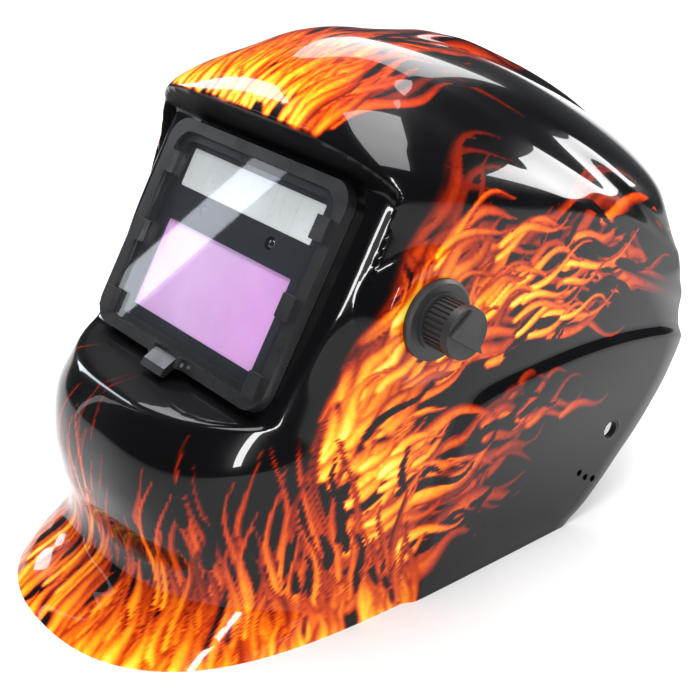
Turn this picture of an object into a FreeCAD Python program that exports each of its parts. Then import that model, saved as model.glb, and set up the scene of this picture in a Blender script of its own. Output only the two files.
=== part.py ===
import FreeCAD, Part
import math
import os
import Sketcher
from FreeCAD import Placement, Rotation, Vector

# Auto-darkening welding helmet, standing on its lower rim as on a bench.
# Millimetres.  +Z is up, -Y is the front, +X is the wearer's left.
# The origin is on the bench, on the mid-plane.

doc = FreeCAD.newDocument("welding_helmet")

# ---------------------------------------------------------------- driving dimensions
DIMENSIONS = {
    # shell
    "wall": 2.6,
    "bulge": 4.0,
    "recess_round": 2.4,
    "lobe_step": 2.8,
    "ridge_height": 5.0,
    "ridge_half_width": 13.0,
    "bench_width": 300.0,
    "bench_length": 400.0,
    "bench_depth": 40.0,
    # window plane: leaned back, its origin under the viewing glass
    "window_y": -88.0,
    "window_z": 115.0,
    "window_turn": 58.6,
    "window_centre": 36.5,
    "opening_width": 122.0,
    "opening_height": 98.0,
    "opening_round": 9.0,
    "opening_depth": 16.0,
    "opening_reach": 10.0,
    # lens frame
    "frame_width": 128.0,
    "frame_height": 101.0,
    "frame_round": 11.0,
    "frame_back": 0.2,
    "frame_front": 5.5,
    "sleeve_width": 121.2,
    "sleeve_height": 97.2,
    "sleeve_round": 8.5,
    "sleeve_depth": 11.0,
    "bay_width": 110.6,
    "bay_height": 90.6,
    "bay_round": 4.3,
    "bay_front": 1.2,
    "seat_width": 114.4,
    "seat_height": 90.4,
    "seat_round": 9.2,
    "seat_level": 3.4,
    "sight_width": 106.0,
    "sight_height": 83.0,
    "sight_round": 6.0,
    "clip_length": 10.5,
    "clip_reach": 5.0,
    "clip_pitch": 34.5,
    "clip_top": 7.6,
    "clip_shift": -5.0,
    "clip_foot": 3.0,
    "clip_gap": 0.1,
    "lug_reach": 10.0,
    "lug_thick": 3.0,
    "lug_length": 5.0,
    "lug_height": 4.0,
    "lug_rise": -50.3,
    "lug_level": 5.3,
    # cover lenses
    "lens_width": 114.0,
    "lens_height": 90.0,
    "lens_round": 9.0,
    "lens_thick": 1.0,
    "inner_lens_width": 104.0,
    "inner_lens_height": 54.0,
    "inner_lens_thick": 1.0,
    # filter cartridge
    "cartridge_width": 110.0,
    "cartridge_height": 90.0,
    "cartridge_round": 4.0,
    "cartridge_front": 1.0,
    "cartridge_split": -3.0,
    "cartridge_rear": -8.5,
    "view_width": 92.0,
    "view_height": 42.0,
    "glass_width": 96.0,
    "glass_height": 46.0,
    "filter_thick": 1.2,
    "panel_thick": 1.7,
    "solar_width": 95.8,
    "solar_height": 17.8,
    "solar_thick": 1.5,
    "sensor_radius": 2.9,
    "sensor_reach": 25.0,
    "board_width": 100.0,
    "board_height": 30.0,
    "board_thick": 1.2,
    "cell_radius": 10.0,
    "cell_thick": 2.6,
    "dial_radius": 6.0,
    "dial_height": 2.8,
    "dial_reach": 30.0,
    "retainer_thick": 2.4,
    "retainer_width": 98.0,
    "retainer_height": 74.0,
    "screw_radius": 1.1,
    "screw_head_radius": 2.1,
    "screw_reach": 58.0,
    "screw_spread": 30.0,
    "screw_length": 9.4,
    "screw_head_height": 1.8,
    "screw_bore_depth": 8.0,
    "slot_round": 1.0,
    "shell_skin": 1.2,
    "glass_slot_width": 96.4,
    "glass_slot_height": 46.4,
    "view_rise": -15.5,
    "solar_slot_width": 96.2,
    "solar_slot_height": 18.2,
    "solar_rise": 30.2,
    "sensor_slot_radius": 3.1,
    "sensor_rise": 15.0,
    "sensor_level": -3.2,
    "sensor_stem": 1.3,
    "solar_sink": 0.5,
    "cavity_width": 105.0,
    "cavity_height": 85.0,
    "board_rise": 26.0,
    "board_level": -4.4,
    "cell_level": -7.1,
    "dial_rise": 25.5,
    "dial_gap": 0.1,
    "dial_grip_width": 2.0,
    "dial_grip_length": 10.0,
    "dial_grip_start": 2.4,
    "dial_grip_height": 1.6,
    "screw_hole_radius": 1.3,
    # latch
    "latch_width": 16.0,
    "latch_pin_radius": 1.0,
    "latch_pin_length": 23.0,
    "latch_eye_radius": 1.05,
    "latch_bore_length": 30.0,
    "latch_rise": -48.0,
    "latch_level": 7.4,
    # shade knob
    "knob_y": -30.0,
    "knob_z": 139.8,
    "knob_face": 93.2,
    "knob_gap": 0.35,
    "boss_radius": 23.0,
    "shaft_hole_radius": 3.6,
    "shaft_hole_length": 40.0,
    "shaft_radius": 3.0,
    "base_radius": 17.5,
    "base_thick": 3.0,
    "base_flange": 2.0,
    "base_bevel": 1.4,
    "base_hub_radius": 12.4,
    "base_hub_height": 4.2,
    "knob_radius": 11.0,
    "knob_height": 15.0,
    "knob_grip": 10.5,
    "knob_cap_radius": 11.4,
    "knob_cap_height": 3.6,
    "knob_room": 5.0,
    "knob_bore_length": 16.0,
    "pointer_turn": 35.0,
    "pointer_level": 12.0,
    "pointer_raise": 0.4,
    "pointer_tip": 13.0,
    "pointer_heel": 7.5,
    "pointer_half_width": 7.0,
    "flute_count": 30,
    "flute_radius": 0.7,
    "knob_foot": 4.6,
    "knob_hollow": 8.5,
    "bushing_radius": 3.5,
    "bushing_bore": 3.05,
    "bushing_start": -3.5,
    "bushing_length": 9.8,
    "nut_radius": 5.5,
    "nut_thick": 1.8,
    "lead_radius": 1.3,
    "pot_radius": 12.0,
    "pot_depth": 9.0,
    "pot_sink": 3.4,
    "pot_bore_start": -10.0,
    "pot_bore_length": 20.0,
    "shaft_start": -9.5,
    "shaft_length": 25.5,
    # lead
    "lead_reach": 46.0,
    "lead_rise": 23.5,
    "lead_run": 14.0,
    "lead_x": 55.0,
    "lead_y": -29.0,
    "lead_z": 146.0,
    # pivots
    "pivot_y": 88.0,
    "pivot_z": 45.5,
    "pivot_radius": 5.5,
    "hub_radius": 5.45,
    "hub_bore_radius": 4.4,
    "stop_radius": 1.8,
    "stop_reach": 26.0,
    "stop_pitch": 14.0,
    "stop_turn": 235.0,
    "side_hole_start": 60.0,
    "side_hole_length": 60.0,
    # headgear, in a frame at the pivot axis, as on an upright head
    "band_half_width": 78.0,
    "band_half_length": 98.0,
    "band_shift": -5.0,
    "band_rise": 17.5,
    "band_tilt": -15.7,
    "band_height": 24.0,
    "band_thick": 1.8,
    "band_gap": 0.3,
    "pad_thick": 7.0,
    "pad_height": 32.0,
    "pad_end": 28.0,
    "strap_width": 22.0,
    "strap_thick": 1.6,
    "strap_crown": 122.0,
    "strap_drop": 8.0,
    "strap_gap": 0.9,
    "arm_thick": 1.6,
    "arm_face": 89.6,
    "arm_radius": 13.0,
    "arm_width": 18.0,
    "arm_rise": 8.0,
    "block_face": 75.5,
    "block_height": 16.0,
    "hub_bore_length": 12.0,
    "flare_radius": 7.0,
    "flare_height": 2.0,
    "hub_tip": 93.3,
    "stud_radius": 3.0,
    "stud_head_radius": 5.0,
    "stud_head_thick": 1.9,
    "stud_start": 71.5,
    "stud_length": 14.5,
    "stud_bore_length": 200.0,
    "ratchet_radius": 15.0,
    "scallop_radius": 2.2,
    "scallop_shift": 1.0,
    "scallop_count": 14,
    "housing_width": 66.0,
    "housing_height": 28.0,
    "housing_round": 6.0,
    "housing_thick": 12.0,
    "housing_overlap": 5.0,
    "spindle_radius": 4.0,
    "spindle_bore_radius": 4.05,
    "spindle_start": 0.6,
    "spindle_length": 8.0,
    "ratchet_start": 7.4,
    "ratchet_height": 14.0,
}

sheet = doc.addObject("Spreadsheet::Sheet", "dims")
for row, (alias, value) in enumerate(DIMENSIONS.items(), start=1):
    sheet.set(f"A{row}", alias)
    sheet.set(f"B{row}", str(value))
    sheet.setAlias(f"B{row}", alias)
doc.recompute()


def dim(alias):
    """Value of one driving dimension, read from the sheet."""
    return float(sheet.get(alias))


def bind(obj, **expressions):
    """Bind properties of an object to expressions on the sheet."""
    for prop, expression in expressions.items():
        obj.setExpression(prop, expression)


# ---------------------------------------------------------------- frames
X_AXIS = Vector(1, 0, 0)
Y_AXIS = Vector(0, 1, 0)
Z_AXIS = Vector(0, 0, 1)
WINDOW_LINE = Placement(
    Vector(0, dim("window_y"), dim("window_z")), Rotation(X_AXIS, dim("window_turn")))
WINDOW = WINDOW_LINE * Placement(Vector(0, dim("window_centre"), 0), Rotation())
KNOB = Placement(
    Vector(dim("knob_face") + dim("knob_gap"), dim("knob_y"), dim("knob_z")), Rotation(Y_AXIS, 90))
HEAD = Placement(Vector(0, dim("pivot_y"), dim("pivot_z")), Rotation())
BAND = HEAD * Placement(
    Vector(0, dim("band_shift"), dim("band_rise")), Rotation(X_AXIS, dim("band_tilt")))


# ---------------------------------------------------------------- sketch and body helpers
def new_body(label, frame):
    """A PartDesign body with its own label and placement."""
    body = doc.addObject("PartDesign::Body", label)
    body.Label = label
    body.Placement = frame
    return body


def plane_of(body, role):
    """The body's own origin plane with this role."""
    return next(f for f in body.Origin.OriginFeatures if f.Role == role)


def rectangle(width, height, corner, rise=None):
    """Outline: a rectangle with round corners, centred, or raised by a cell of the sheet."""
    def draw(sketch):
        half_w, half_h, r = dim(width) / 2, dim(height) / 2, dim(corner)
        up = dim(rise) if rise else 0.0
        corners = [(half_w, -half_h, -90), (half_w, half_h, 0),
                   (-half_w, half_h, 90), (-half_w, -half_h, 180)]
        arcs = []
        for x, y, start in corners:
            centre = Vector(x - math.copysign(r, x), y + up - math.copysign(r, y), 0)
            circle = Part.Circle(centre, Z_AXIS, r)
            arcs.append(Part.ArcOfCircle(circle, math.radians(start), math.radians(start + 90)))
        for i in range(4):
            sketch.addGeometry(arcs[i])
            sketch.addGeometry(Part.LineSegment(arcs[i].EndPoint, arcs[(i + 1) % 4].StartPoint))
        for i in range(4):
            sketch.addConstraint(Sketcher.Constraint("Tangent", 2 * i, 2, 2 * i + 1, 1))
            sketch.addConstraint(Sketcher.Constraint("Tangent", 2 * i + 1, 2, (2 * i + 2) % 8, 1))
        for line, kind in ((1, "Vertical"), (3, "Horizontal"), (5, "Vertical"), (7, "Horizontal")):
            sketch.addConstraint(Sketcher.Constraint(kind, line))
        for arc in (2, 4, 6):
            sketch.addConstraint(Sketcher.Constraint("Equal", 0, arc))
        lift = f" + dims.{rise}" if rise else ""
        measures = [
            (("Radius", 0, r), f"dims.{corner}"),
            (("DistanceX", 5, 1, 1, 2, 2 * half_w), f"dims.{width}"),
            (("DistanceY", 7, 1, 3, 2, 2 * half_h), f"dims.{height}"),
            (("DistanceX", -1, 1, 1, 1, half_w), f"dims.{width} / 2"),
            (("DistanceY", -1, 1, 3, 1, half_h + up), f"dims.{height} / 2{lift}"),
        ]
        for measure, expression in measures:
            c = sketch.addConstraint(Sketcher.Constraint(*measure))
            sketch.setExpression(f"Constraints[{c}]", expression)
    return draw


def circle(radius, x=0.0, y=0.0):
    """Outline: a circle whose radius is a cell of the sheet."""
    def draw(sketch):
        g = sketch.addGeometry(Part.Circle(Vector(x, y, 0), Z_AXIS, dim(radius)))
        c = sketch.addConstraint(Sketcher.Constraint("Radius", g, dim(radius)))
        sketch.setExpression(f"Constraints[{c}]", f"dims.{radius}")
    return draw


def polygon(points):
    """Outline: a closed polygon."""
    def draw(sketch):
        ring = [Vector(x, y, 0) for x, y in points]
        for a, b in zip(ring, ring[1:] + ring[:1]):
            sketch.addGeometry(Part.LineSegment(a, b))
    return draw


def sketch_on(body, role, level, *outlines):
    """A sketch on one of the body's origin planes, lifted along its normal to a level."""
    sketch = body.newObject("Sketcher::SketchObject", f"{body.Name}_sketch")
    sketch.AttachmentSupport = (plane_of(body, role), [""])
    sketch.MapMode = "FlatFace"
    sketch.setExpression(".AttachmentOffset.Base.z", level)
    for outline in outlines:
        outline(sketch)
    return sketch


def pad(body, low, high, *outlines, role="XY_Plane"):
    """Add material between two levels."""
    sketch = sketch_on(body, role, low, *outlines)
    feature = body.newObject("PartDesign::Pad", f"{body.Name}_pad")
    feature.Profile = sketch
    feature.setExpression("Length", f"({high}) - ({low})")
    return feature


LEAST_CUT = 1e-6


def pocket(body, low, high, *outlines, role="XY_Plane"):
    """Remove material between two levels."""
    doc.recompute()
    before = body.Shape.Volume
    sketch = sketch_on(body, role, high, *outlines)
    feature = body.newObject("PartDesign::Pocket", f"{body.Name}_pocket")
    feature.Profile = sketch
    feature.setExpression("Length", f"({high}) - ({low})")
    doc.recompute()
    if body.Shape.Volume >= before - LEAST_CUT:
        raise RuntimeError(f"a pocket of {body.Label} cuts nothing")
    return feature


def primitive(kind, label, frame=Placement(), **expressions):
    """A Part primitive with its sizes bound to the sheet."""
    obj = doc.addObject(f"Part::{kind}", label)
    obj.Label = label
    bind(obj, **expressions)
    obj.Placement = frame
    return obj


def cylinder(label, frame, radius, height):
    """A Part cylinder along the frame's Z."""
    return primitive("Cylinder", label, frame, Radius=radius, Height=height)


def box(label, frame, length, width, height):
    """A Part box from the frame's origin."""
    return primitive("Box", label, frame, Length=length, Width=width, Height=height)


def shifted(frame, x=0.0, y=0.0, z=0.0, turn=Rotation()):
    """A frame moved within itself."""
    return frame * Placement(Vector(x, y, z), turn)


def cut(label, base, *tools):
    """Base minus tools."""
    tool = tools[0] if len(tools) == 1 else fuse(f"{label}_tools", *tools)
    obj = doc.addObject("Part::Cut", label)
    obj.Label = label
    obj.Base = base
    obj.Tool = tool
    return obj


def fuse(label, *shapes):
    """Union of shapes; shapes that don't touch stay separate solids."""
    obj = doc.addObject("Part::MultiFuse", label)
    obj.Label = label
    obj.Shapes = list(shapes)
    return obj


def feature(label, shape, frame=Placement()):
    """A Part::Feature with a shape made in code."""
    obj = doc.addObject("Part::Feature", label)
    obj.Label = label
    obj.Shape = shape
    obj.Placement = frame
    return obj


NODES = []


def node(obj):
    """Register a finished sub-part."""
    NODES.append(obj)
    return obj


# ---------------------------------------------------------------- helmet shell
# The shell is a hood of hoops.  Each hoop runs from the left rear edge round the front
# to the right rear edge, as a superellipse between a point on the centre profile
# (front_y, front_z) and a point on the rear edge (edge_x, edge_y, edge_z).
# side and nose are its exponents across and along.
HOOPS = [
    # front_y, front_z, edge_x, edge_y, edge_z, side, nose
    (-179.0, -5.0, 88.3, 57.0, -5.0, 2.30, 5.0),
    (-171.5, 0.0, 88.5, 61.0, 0.0, 2.30, 5.0),
    (-165.0, 5.0, 88.7, 65.0, 3.0, 2.35, 5.0),
    (-151.0, 13.0, 89.0, 70.0, 6.0, 2.50, 5.0),
    (-139.5, 22.0, 89.3, 77.0, 11.0, 2.60, 5.0),
    (-137.5, 33.0, 89.6, 86.0, 19.0, 2.70, 5.0),
    (-140.5, 50.0, 90.0, 97.0, 30.0, 2.80, 5.0),
    (-142.0, 68.0, 90.3, 108.0, 40.5, 2.80, 5.0),
    (-138.5, 88.0, 90.6, 117.0, 51.0, 2.80, 5.0),
    (-126.7, 104.0, 91.0, 125.0, 62.0, 2.80, 5.0),
    (-113.7, 119.0, 91.5, 131.0, 74.0, 3.00, 5.2),
    (-86.0, 162.0, 92.0, 133.5, 88.0, 3.80, 6.5),
    (-68.0, 187.0, 92.5, 132.0, 97.0, 4.00, 8.5),
    (-54.0, 208.0, 93.0, 132.0, 106.0, 4.00, 11.0),
    (-45.0, 217.0, 93.0, 130.0, 112.0, 3.40, 7.0),
    (-30.0, 226.0, 93.0, 129.0, 118.0, 2.70, 4.0),
    (-8.0, 233.0, 93.0, 127.0, 125.0, 2.40, 2.5),
    (40.0, 226.0, 92.3, 124.5, 131.5, 2.20, 2.1),
    (96.0, 202.0, 90.0, 121.0, 141.0, 2.00, 1.7),
    (140.0, 176.0, 86.0, 118.0, 149.5, 1.80, 1.35),
    (172.0, 152.0, 80.0, 117.0, 156.0, 1.60, 1.0),
]
# hoops at the chin crease, the shelf under the window, the top of the cheeks, the brim and the crown
CREASE, SHELF, CHEEK_TOP, BRIM, CROWN = 5, 9, 10, 12, 16
COLUMNS = len(HOOPS[0])


def hoop_stations():
    """Distance along the centre profile at each hoop."""
    stations = [0.0]
    for a, b in zip(HOOPS, HOOPS[1:]):
        stations.append(stations[-1] + math.hypot(b[0] - a[0], b[1] - a[1]))
    return stations


STATION = hoop_stations()


def hoop_slopes(column):
    """Slope of one column of the hoop table at each station, for a cubic between hoops."""
    step = [b - a for a, b in zip(STATION, STATION[1:])]
    rise = [(b[column] - a[column]) / h for a, b, h in zip(HOOPS, HOOPS[1:], step)]
    inner = [(step[i] * rise[i - 1] + step[i - 1] * rise[i]) / (step[i] + step[i - 1])
             for i in range(1, len(step))]
    return [rise[0]] + inner + [rise[-1]]


SLOPES = [hoop_slopes(column) for column in range(COLUMNS)]


def hoop_at(s):
    """The seven hoop values at a distance s along the centre profile."""
    i = 0
    while i < len(HOOPS) - 2 and s > STATION[i + 1]:
        i += 1
    step = STATION[i + 1] - STATION[i]
    f = (s - STATION[i]) / step
    rest, start = 1 - f, (1 + 2 * f) * (1 - f) ** 2
    return [start * HOOPS[i][k] + (1 - start) * HOOPS[i + 1][k]
            + f * rest * step * (rest * SLOPES[k][i] - f * SLOPES[k][i + 1])
            for k in range(COLUMNS)]


def smooth_step(f):
    """0 to 1, level at both ends."""
    f = max(0.0, min(1.0, f))
    return f * f * (3 - 2 * f)


def soft_max(a, b, r):
    """The larger of two values, rounded over a width r."""
    return (a + b + math.sqrt((a - b) ** 2 + r * r)) / 2


def soft_min(a, b, r):
    """The smaller of two values, rounded over a width r."""
    return (a + b - math.sqrt((a - b) ** 2 + r * r)) / 2


LEAN = math.radians(dim("window_turn"))
WINDOW_UP = Vector(0, math.cos(LEAN), math.sin(LEAN))
WINDOW_OUT = Vector(0, -math.sin(LEAN), math.cos(LEAN))
WINDOW_FOOT = Vector(0, dim("window_y"), dim("window_z"))


# the ridge over the crown: where it starts behind the crown hoop, its run-in, its end and run-out
RIDGE_START, RIDGE_RUN, RIDGE_END, RIDGE_FADE, RIDGE_FLANK = 20.0, 60.0, 6.0, 8.0, 7.0


def shell_point(s, across, convex):
    """A point of the shell's outer face.

    s runs up the centre profile, across runs -1 to 1 over the hoop, and convex is the
    rounding of the window box's outer edges.
    """
    front_y, front_z, edge_x, edge_y, edge_z, side, nose = hoop_at(s)
    along = max(0.0, 1 - abs(across) ** side) ** (1 / nose)
    cheeks = smooth_step((s - STATION[CREASE]) / (STATION[CHEEK_TOP] - STATION[CREASE]))
    swell = dim("bulge") * cheeks * abs(across) ** 3 * math.sin(math.pi * along)
    point = Vector(edge_x * across + math.copysign(swell, across),
                   edge_y + along * (front_y - edge_y), edge_z + along * (front_z - edge_z))
    point = recess(point, convex)
    point = raise_lobe(point)
    point = flatten_boss(point)
    back = smooth_step((s - STATION[CROWN] - RIDGE_START) / RIDGE_RUN)
    back *= smooth_step((STATION[-1] - RIDGE_END - s) / RIDGE_FADE)
    flank = smooth_step((dim("ridge_half_width") - abs(point.x)) / RIDGE_FLANK)
    point.z += dim("ridge_height") * back * flank
    return point


# the window box in section: each line by its slope, and where it crosses a level
SHELF_SLOPE, SHELF_START, SHELF_LEVEL = 1.63, -31.2, 26.0
BRIM_SLOPE, BRIM_START = 2.25, 89.3
FLANK_SLOPE, FLANK_START, FLANK_LEVEL, FLANK_ROUND = 1.3, 75.3, 0.1, 1.6
CHEEK_SLOPE, CHEEK_START, CHEEK_LEVEL = 3.2, 80.5, -7.0
# how far down and up the window plane the box reaches, with its run-in and run-out
BOX_FOOT, BOX_LOW, BOX_LOW_RUN, BOX_HIGH, BOX_HIGH_RUN, CLEAR = -60.0, -50.0, 12.0, 116.0, 10.0, 50.0


def recess(point, convex):
    """Sink the flat window box, its shelf below and its brim above into the front."""
    concave = dim("recess_round")
    offset = point - WINDOW_FOOT
    up, out = offset.dot(WINDOW_UP), offset.dot(WINDOW_OUT)
    x = abs(point.x)
    shelf = SHELF_LEVEL - SHELF_SLOPE * (up - SHELF_START)
    brim = BRIM_SLOPE * (up - BRIM_START)
    flank = FLANK_LEVEL - FLANK_SLOPE * soft_max(x - FLANK_START, 0, FLANK_ROUND)
    cheek = CHEEK_LEVEL + CHEEK_SLOPE * (x - CHEEK_START)
    floor = soft_max(flank, soft_max(shelf, brim, concave), concave)
    floor = soft_max(floor, cheek, concave)
    if up < BOX_FOOT:
        floor = out + CLEAR
    share = smooth_step((up - BOX_LOW) / BOX_LOW_RUN) * smooth_step((BOX_HIGH - up) / BOX_HIGH_RUN)
    return point + WINDOW_OUT * ((soft_min(out, floor, convex) - out) * share)


# the ear lobe: its top line and front line, the rounding between them and the ramp of its step
LOBE_TOP, LOBE_BEND, LOBE_BEND_START = 100.0, 0.0016, 40.0
LOBE_FRONT, LOBE_LEAN, LOBE_ROUND, LOBE_RAMP = -28.0, 0.25, 16.0, 4.0
SIDE_START, SIDE_RUN = 60.0, 20.0


def raise_lobe(point):
    """Step the flat ear lobe outward, behind the jaw and under the step line."""
    under = LOBE_TOP - LOBE_BEND * max(0.0, point.y - LOBE_BEND_START) ** 2 - point.z
    behind = point.y - LOBE_FRONT - LOBE_LEAN * (point.z - LOBE_BEND_START)
    inside = soft_min(under, behind, LOBE_ROUND)
    side = smooth_step((abs(point.x) - SIDE_START) / SIDE_RUN)
    lift = dim("lobe_step") * smooth_step((inside + LOBE_RAMP) / (2 * LOBE_RAMP)) * side
    return point + X_AXIS * math.copysign(lift, point.x)


BOSS_MARGIN, BOSS_RUN = 9.0, 8.0


def flatten_boss(point):
    """Level the left side round the shade knob."""
    if point.x < 0:
        return point
    reach = math.hypot(point.y - dim("knob_y"), point.z - dim("knob_z"))
    share = smooth_step((dim("boss_radius") + BOSS_MARGIN - reach) / BOSS_RUN)
    return point + X_AXIS * ((dim("knob_face") - point.x) * share)


def sample_between(low, high, spacing):
    """Values from low up to, and not including, high, no further apart than spacing."""
    count = max(1, math.ceil((high - low) / spacing))
    return [low + (high - low) * i / count for i in range(count)]


CLOSE_ROWS, OPEN_ROWS = 4.0, 9.0


def shell_stations():
    """Rows of the shell's net: close together over the shelf and the brim."""
    rows = []
    for i in range(len(HOOPS) - 1):
        spacing = CLOSE_ROWS if i in (SHELF, BRIM) else OPEN_ROWS
        rows += sample_between(STATION[i], STATION[i + 1], spacing)
    return rows + [STATION[-1]]


FACE_SPOTS = [0.0, 0.12, 0.24, 0.36, 0.47, 0.57, 0.65, 0.71, 0.76, 0.80, 0.84]
SIDE_START_SPOT = 0.875
SIDE_STEPS = 26


def shell_spots(s):
    """Columns of the shell's net: even over the face, then even along the side."""
    side, nose = hoop_at(s)[5:]
    reach = (1 - SIDE_START_SPOT ** side) ** (1 / nose)
    flank = [(1 - (reach * (1 - i / SIDE_STEPS)) ** nose) ** (1 / side)
             for i in range(SIDE_STEPS + 1)]
    half = FACE_SPOTS + flank
    return [-a for a in reversed(half[1:])] + half


# the step for slopes of the face, and the half width of a hoop as a least and a usual value
NUDGE, LEAST_HALF, USUAL_HALF, LEAST_REST = 0.4, 10.0, 90.0, 1e-3


def shell_net(convex, depth):
    """Net of points on the outer face, or depth inside it."""
    nets = []
    for s in shell_stations():
        row = []
        for a in shell_spots(s):
            point = shell_point(s, a, convex)
            if depth:
                reach = NUDGE / max(USUAL_HALF * max(LEAST_REST, 1 - abs(a)) ** 0.5, LEAST_HALF)
                a0, a1 = max(-1.0, a - reach), min(1.0, a + reach)
                s0, s1 = max(0.0, s - NUDGE), min(STATION[-1], s + NUDGE)
                run = shell_point(s, a1, convex) - shell_point(s, a0, convex)
                rise = shell_point(s1, a, convex) - shell_point(s0, a, convex)
                normal = rise.cross(run)
                normal.normalize()
                point = point + normal * depth
            row.append(point)
        nets.append(row)
    return nets


def skin(net):
    """A smooth face through a net of points."""
    surface = Part.BSplineSurface()
    surface.interpolate(net)
    return surface


def bridge(outer, inner):
    """The narrow ruled face between an edge of the outer face and one of the inner face."""
    return Part.makeRuledSurface(outer.toShape(), inner.toShape())


INNER_ROUND = 3


def hood_solid():
    """The shell as a closed solid, still reaching below the bench and without openings."""
    outer = skin(shell_net(dim("recess_round"), 0.0))
    inner = skin(shell_net(INNER_ROUND * dim("recess_round"), dim("wall")))
    rims = []
    u0, u1, v0, v1 = outer.bounds()
    p0, p1, q0, q1 = inner.bounds()
    for u, p in ((u0, p0), (u1, p1)):
        rims.append(bridge(outer.uIso(u), inner.uIso(p)))
    for v, q in ((v0, q0), (v1, q1)):
        rims.append(bridge(outer.vIso(v), inner.vIso(q)))
    shell = Part.Shell([outer.toShape(), inner.toShape()] + rims)
    shell.sewShape()
    solid = Part.Solid(shell)
    if solid.Volume < 0:
        solid.reverse()
    return solid


def side_frames(y, z):
    """Frames on the left and right of the shell at a place, with Z pointing outward."""
    left = Placement(Vector(0, y, z), Rotation(Y_AXIS, 90))
    right = Placement(Vector(0, y, z), Rotation(Y_AXIS, -90))
    return left, right


def stop_places():
    """Centres of the three small stop holes, on an arc below and ahead of the pivot."""
    for step in (-1, 0, 1):
        angle = math.radians(dim("stop_turn") + step * dim("stop_pitch"))
        yield (dim("pivot_y") + dim("stop_reach") * math.cos(angle),
               dim("pivot_z") + dim("stop_reach") * math.sin(angle))


def make_shell():
    """The moulded hood: wall, window opening, pivot holes, stop holes and knob hole."""
    hood = feature("hood_blank", hood_solid())
    corner = Vector(-dim("bench_width") / 2, -dim("bench_length") / 2, -dim("bench_depth"))
    below = box("below_bench", Placement(corner, Rotation()),
                "dims.bench_width", "dims.bench_length", "dims.bench_depth")
    opening = new_body("window_opening", WINDOW)
    pad(opening, "-dims.opening_depth", "dims.opening_reach",
        rectangle("opening_width", "opening_height", "opening_round"))
    tools = [below, opening]
    holes = [("pivot_hole", dim("pivot_y"), dim("pivot_z"), "dims.pivot_radius")]
    for j, (y, z) in enumerate(stop_places()):
        holes.append((f"stop_hole_{j}", y, z, "dims.stop_radius"))
    for name, y, z, radius in holes:
        for i, frame in enumerate(side_frames(y, z)):
            start = shifted(frame, z=dim("side_hole_start"))
            tools.append(cylinder(f"{name}_{i}", start, radius, "dims.side_hole_length"))
    tools.append(cylinder("shaft_hole", shifted(KNOB, z=-dim("shaft_hole_length") / 2),
                          "dims.shaft_hole_radius", "dims.shaft_hole_length"))
    return node(cut("helmet_shell", hood, *tools))


# ---------------------------------------------------------------- lens frame and lenses
def make_clip(side, row):
    """One clip over the edge of the cover lens, by its side and its row."""
    inner = dim("seat_width") / 2 - dim("clip_reach")
    start = inner if side > 0 else -inner - dim("clip_reach") - dim("clip_foot")
    middle = dim("clip_shift") + row * dim("clip_pitch")
    level = dim("seat_level") + dim("lens_thick") + dim("clip_gap")
    place = shifted(WINDOW, start, middle - dim("clip_length") / 2, level)
    return box(f"clip_{side}_{row}", place, "dims.clip_reach + dims.clip_foot", "dims.clip_length",
               "dims.clip_top - dims.seat_level - dims.lens_thick - dims.clip_gap")


def make_lens_frame():
    """The frame in the window: flange, sleeve, lens seat, six clips and two latch lugs."""
    body = new_body("lens_frame_body", WINDOW)
    pad(body, "dims.frame_back", "dims.frame_front",
        rectangle("frame_width", "frame_height", "frame_round"))
    pad(body, "-dims.sleeve_depth", "dims.frame_back",
        rectangle("sleeve_width", "sleeve_height", "sleeve_round"))
    pocket(body, "-dims.sleeve_depth", "dims.bay_front",
           rectangle("bay_width", "bay_height", "bay_round"))
    pocket(body, "dims.seat_level", "dims.frame_front",
           rectangle("seat_width", "seat_height", "seat_round"))
    pocket(body, "dims.bay_front", "dims.seat_level",
           rectangle("sight_width", "sight_height", "sight_round"))
    extras = [body]
    for side in (-1, 1):
        for row in (-1, 0, 1):
            extras.append(make_clip(side, row))
        start = side * dim("lug_reach") - dim("lug_thick") / 2
        extras.append(box(f"lug_{side}", shifted(WINDOW, start, dim("lug_rise"), dim("lug_level")),
                          "dims.lug_thick", "dims.lug_length", "dims.lug_height"))
    frame = fuse("lens_frame_blank", *extras)
    bores = [cylinder("latch_bore", latch_axis("latch_bore_length"),
                      "dims.latch_pin_radius", "dims.latch_bore_length")]
    for i, place in enumerate(screw_places()):
        bores.append(cylinder(f"screw_bore_{i}", place, "dims.screw_radius", "dims.screw_bore_depth"))
    return node(cut("lens_frame", frame, *bores))


def latch_axis(length):
    """The latch's hinge axis along +X, from half a length left of the mid-plane."""
    return shifted(WINDOW, -dim(length) / 2, dim("latch_rise"), dim("latch_level"),
                   Rotation(Y_AXIS, 90))


def screw_places():
    """Frames of the four retainer screws on the sleeve's rear face, Z pointing forward."""
    for x in (-1, 1):
        for y in (-1, 1):
            yield shifted(WINDOW, x * dim("screw_reach"), y * dim("screw_spread"),
                          -dim("sleeve_depth"))


def make_cover_lens():
    """The clear outer cover lens under the clips."""
    body = node(new_body("cover_lens", WINDOW))
    pad(body, "dims.seat_level", "dims.seat_level + dims.lens_thick",
        rectangle("lens_width", "lens_height", "lens_round"))
    return body


# the latch in section, up the window and out of it: the eye, the finger tab and the toe
LATCH_SECTION = [
    (-46.6, 6.7), (-46.6, 8.7), (-47.6, 9.4), (-52.5, 12.5), (-56.0, 13.0),
    (-56.4, 11.3), (-51.0, 7.4), (-49.5, 5.8), (-47.0, 5.8),
]


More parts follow.
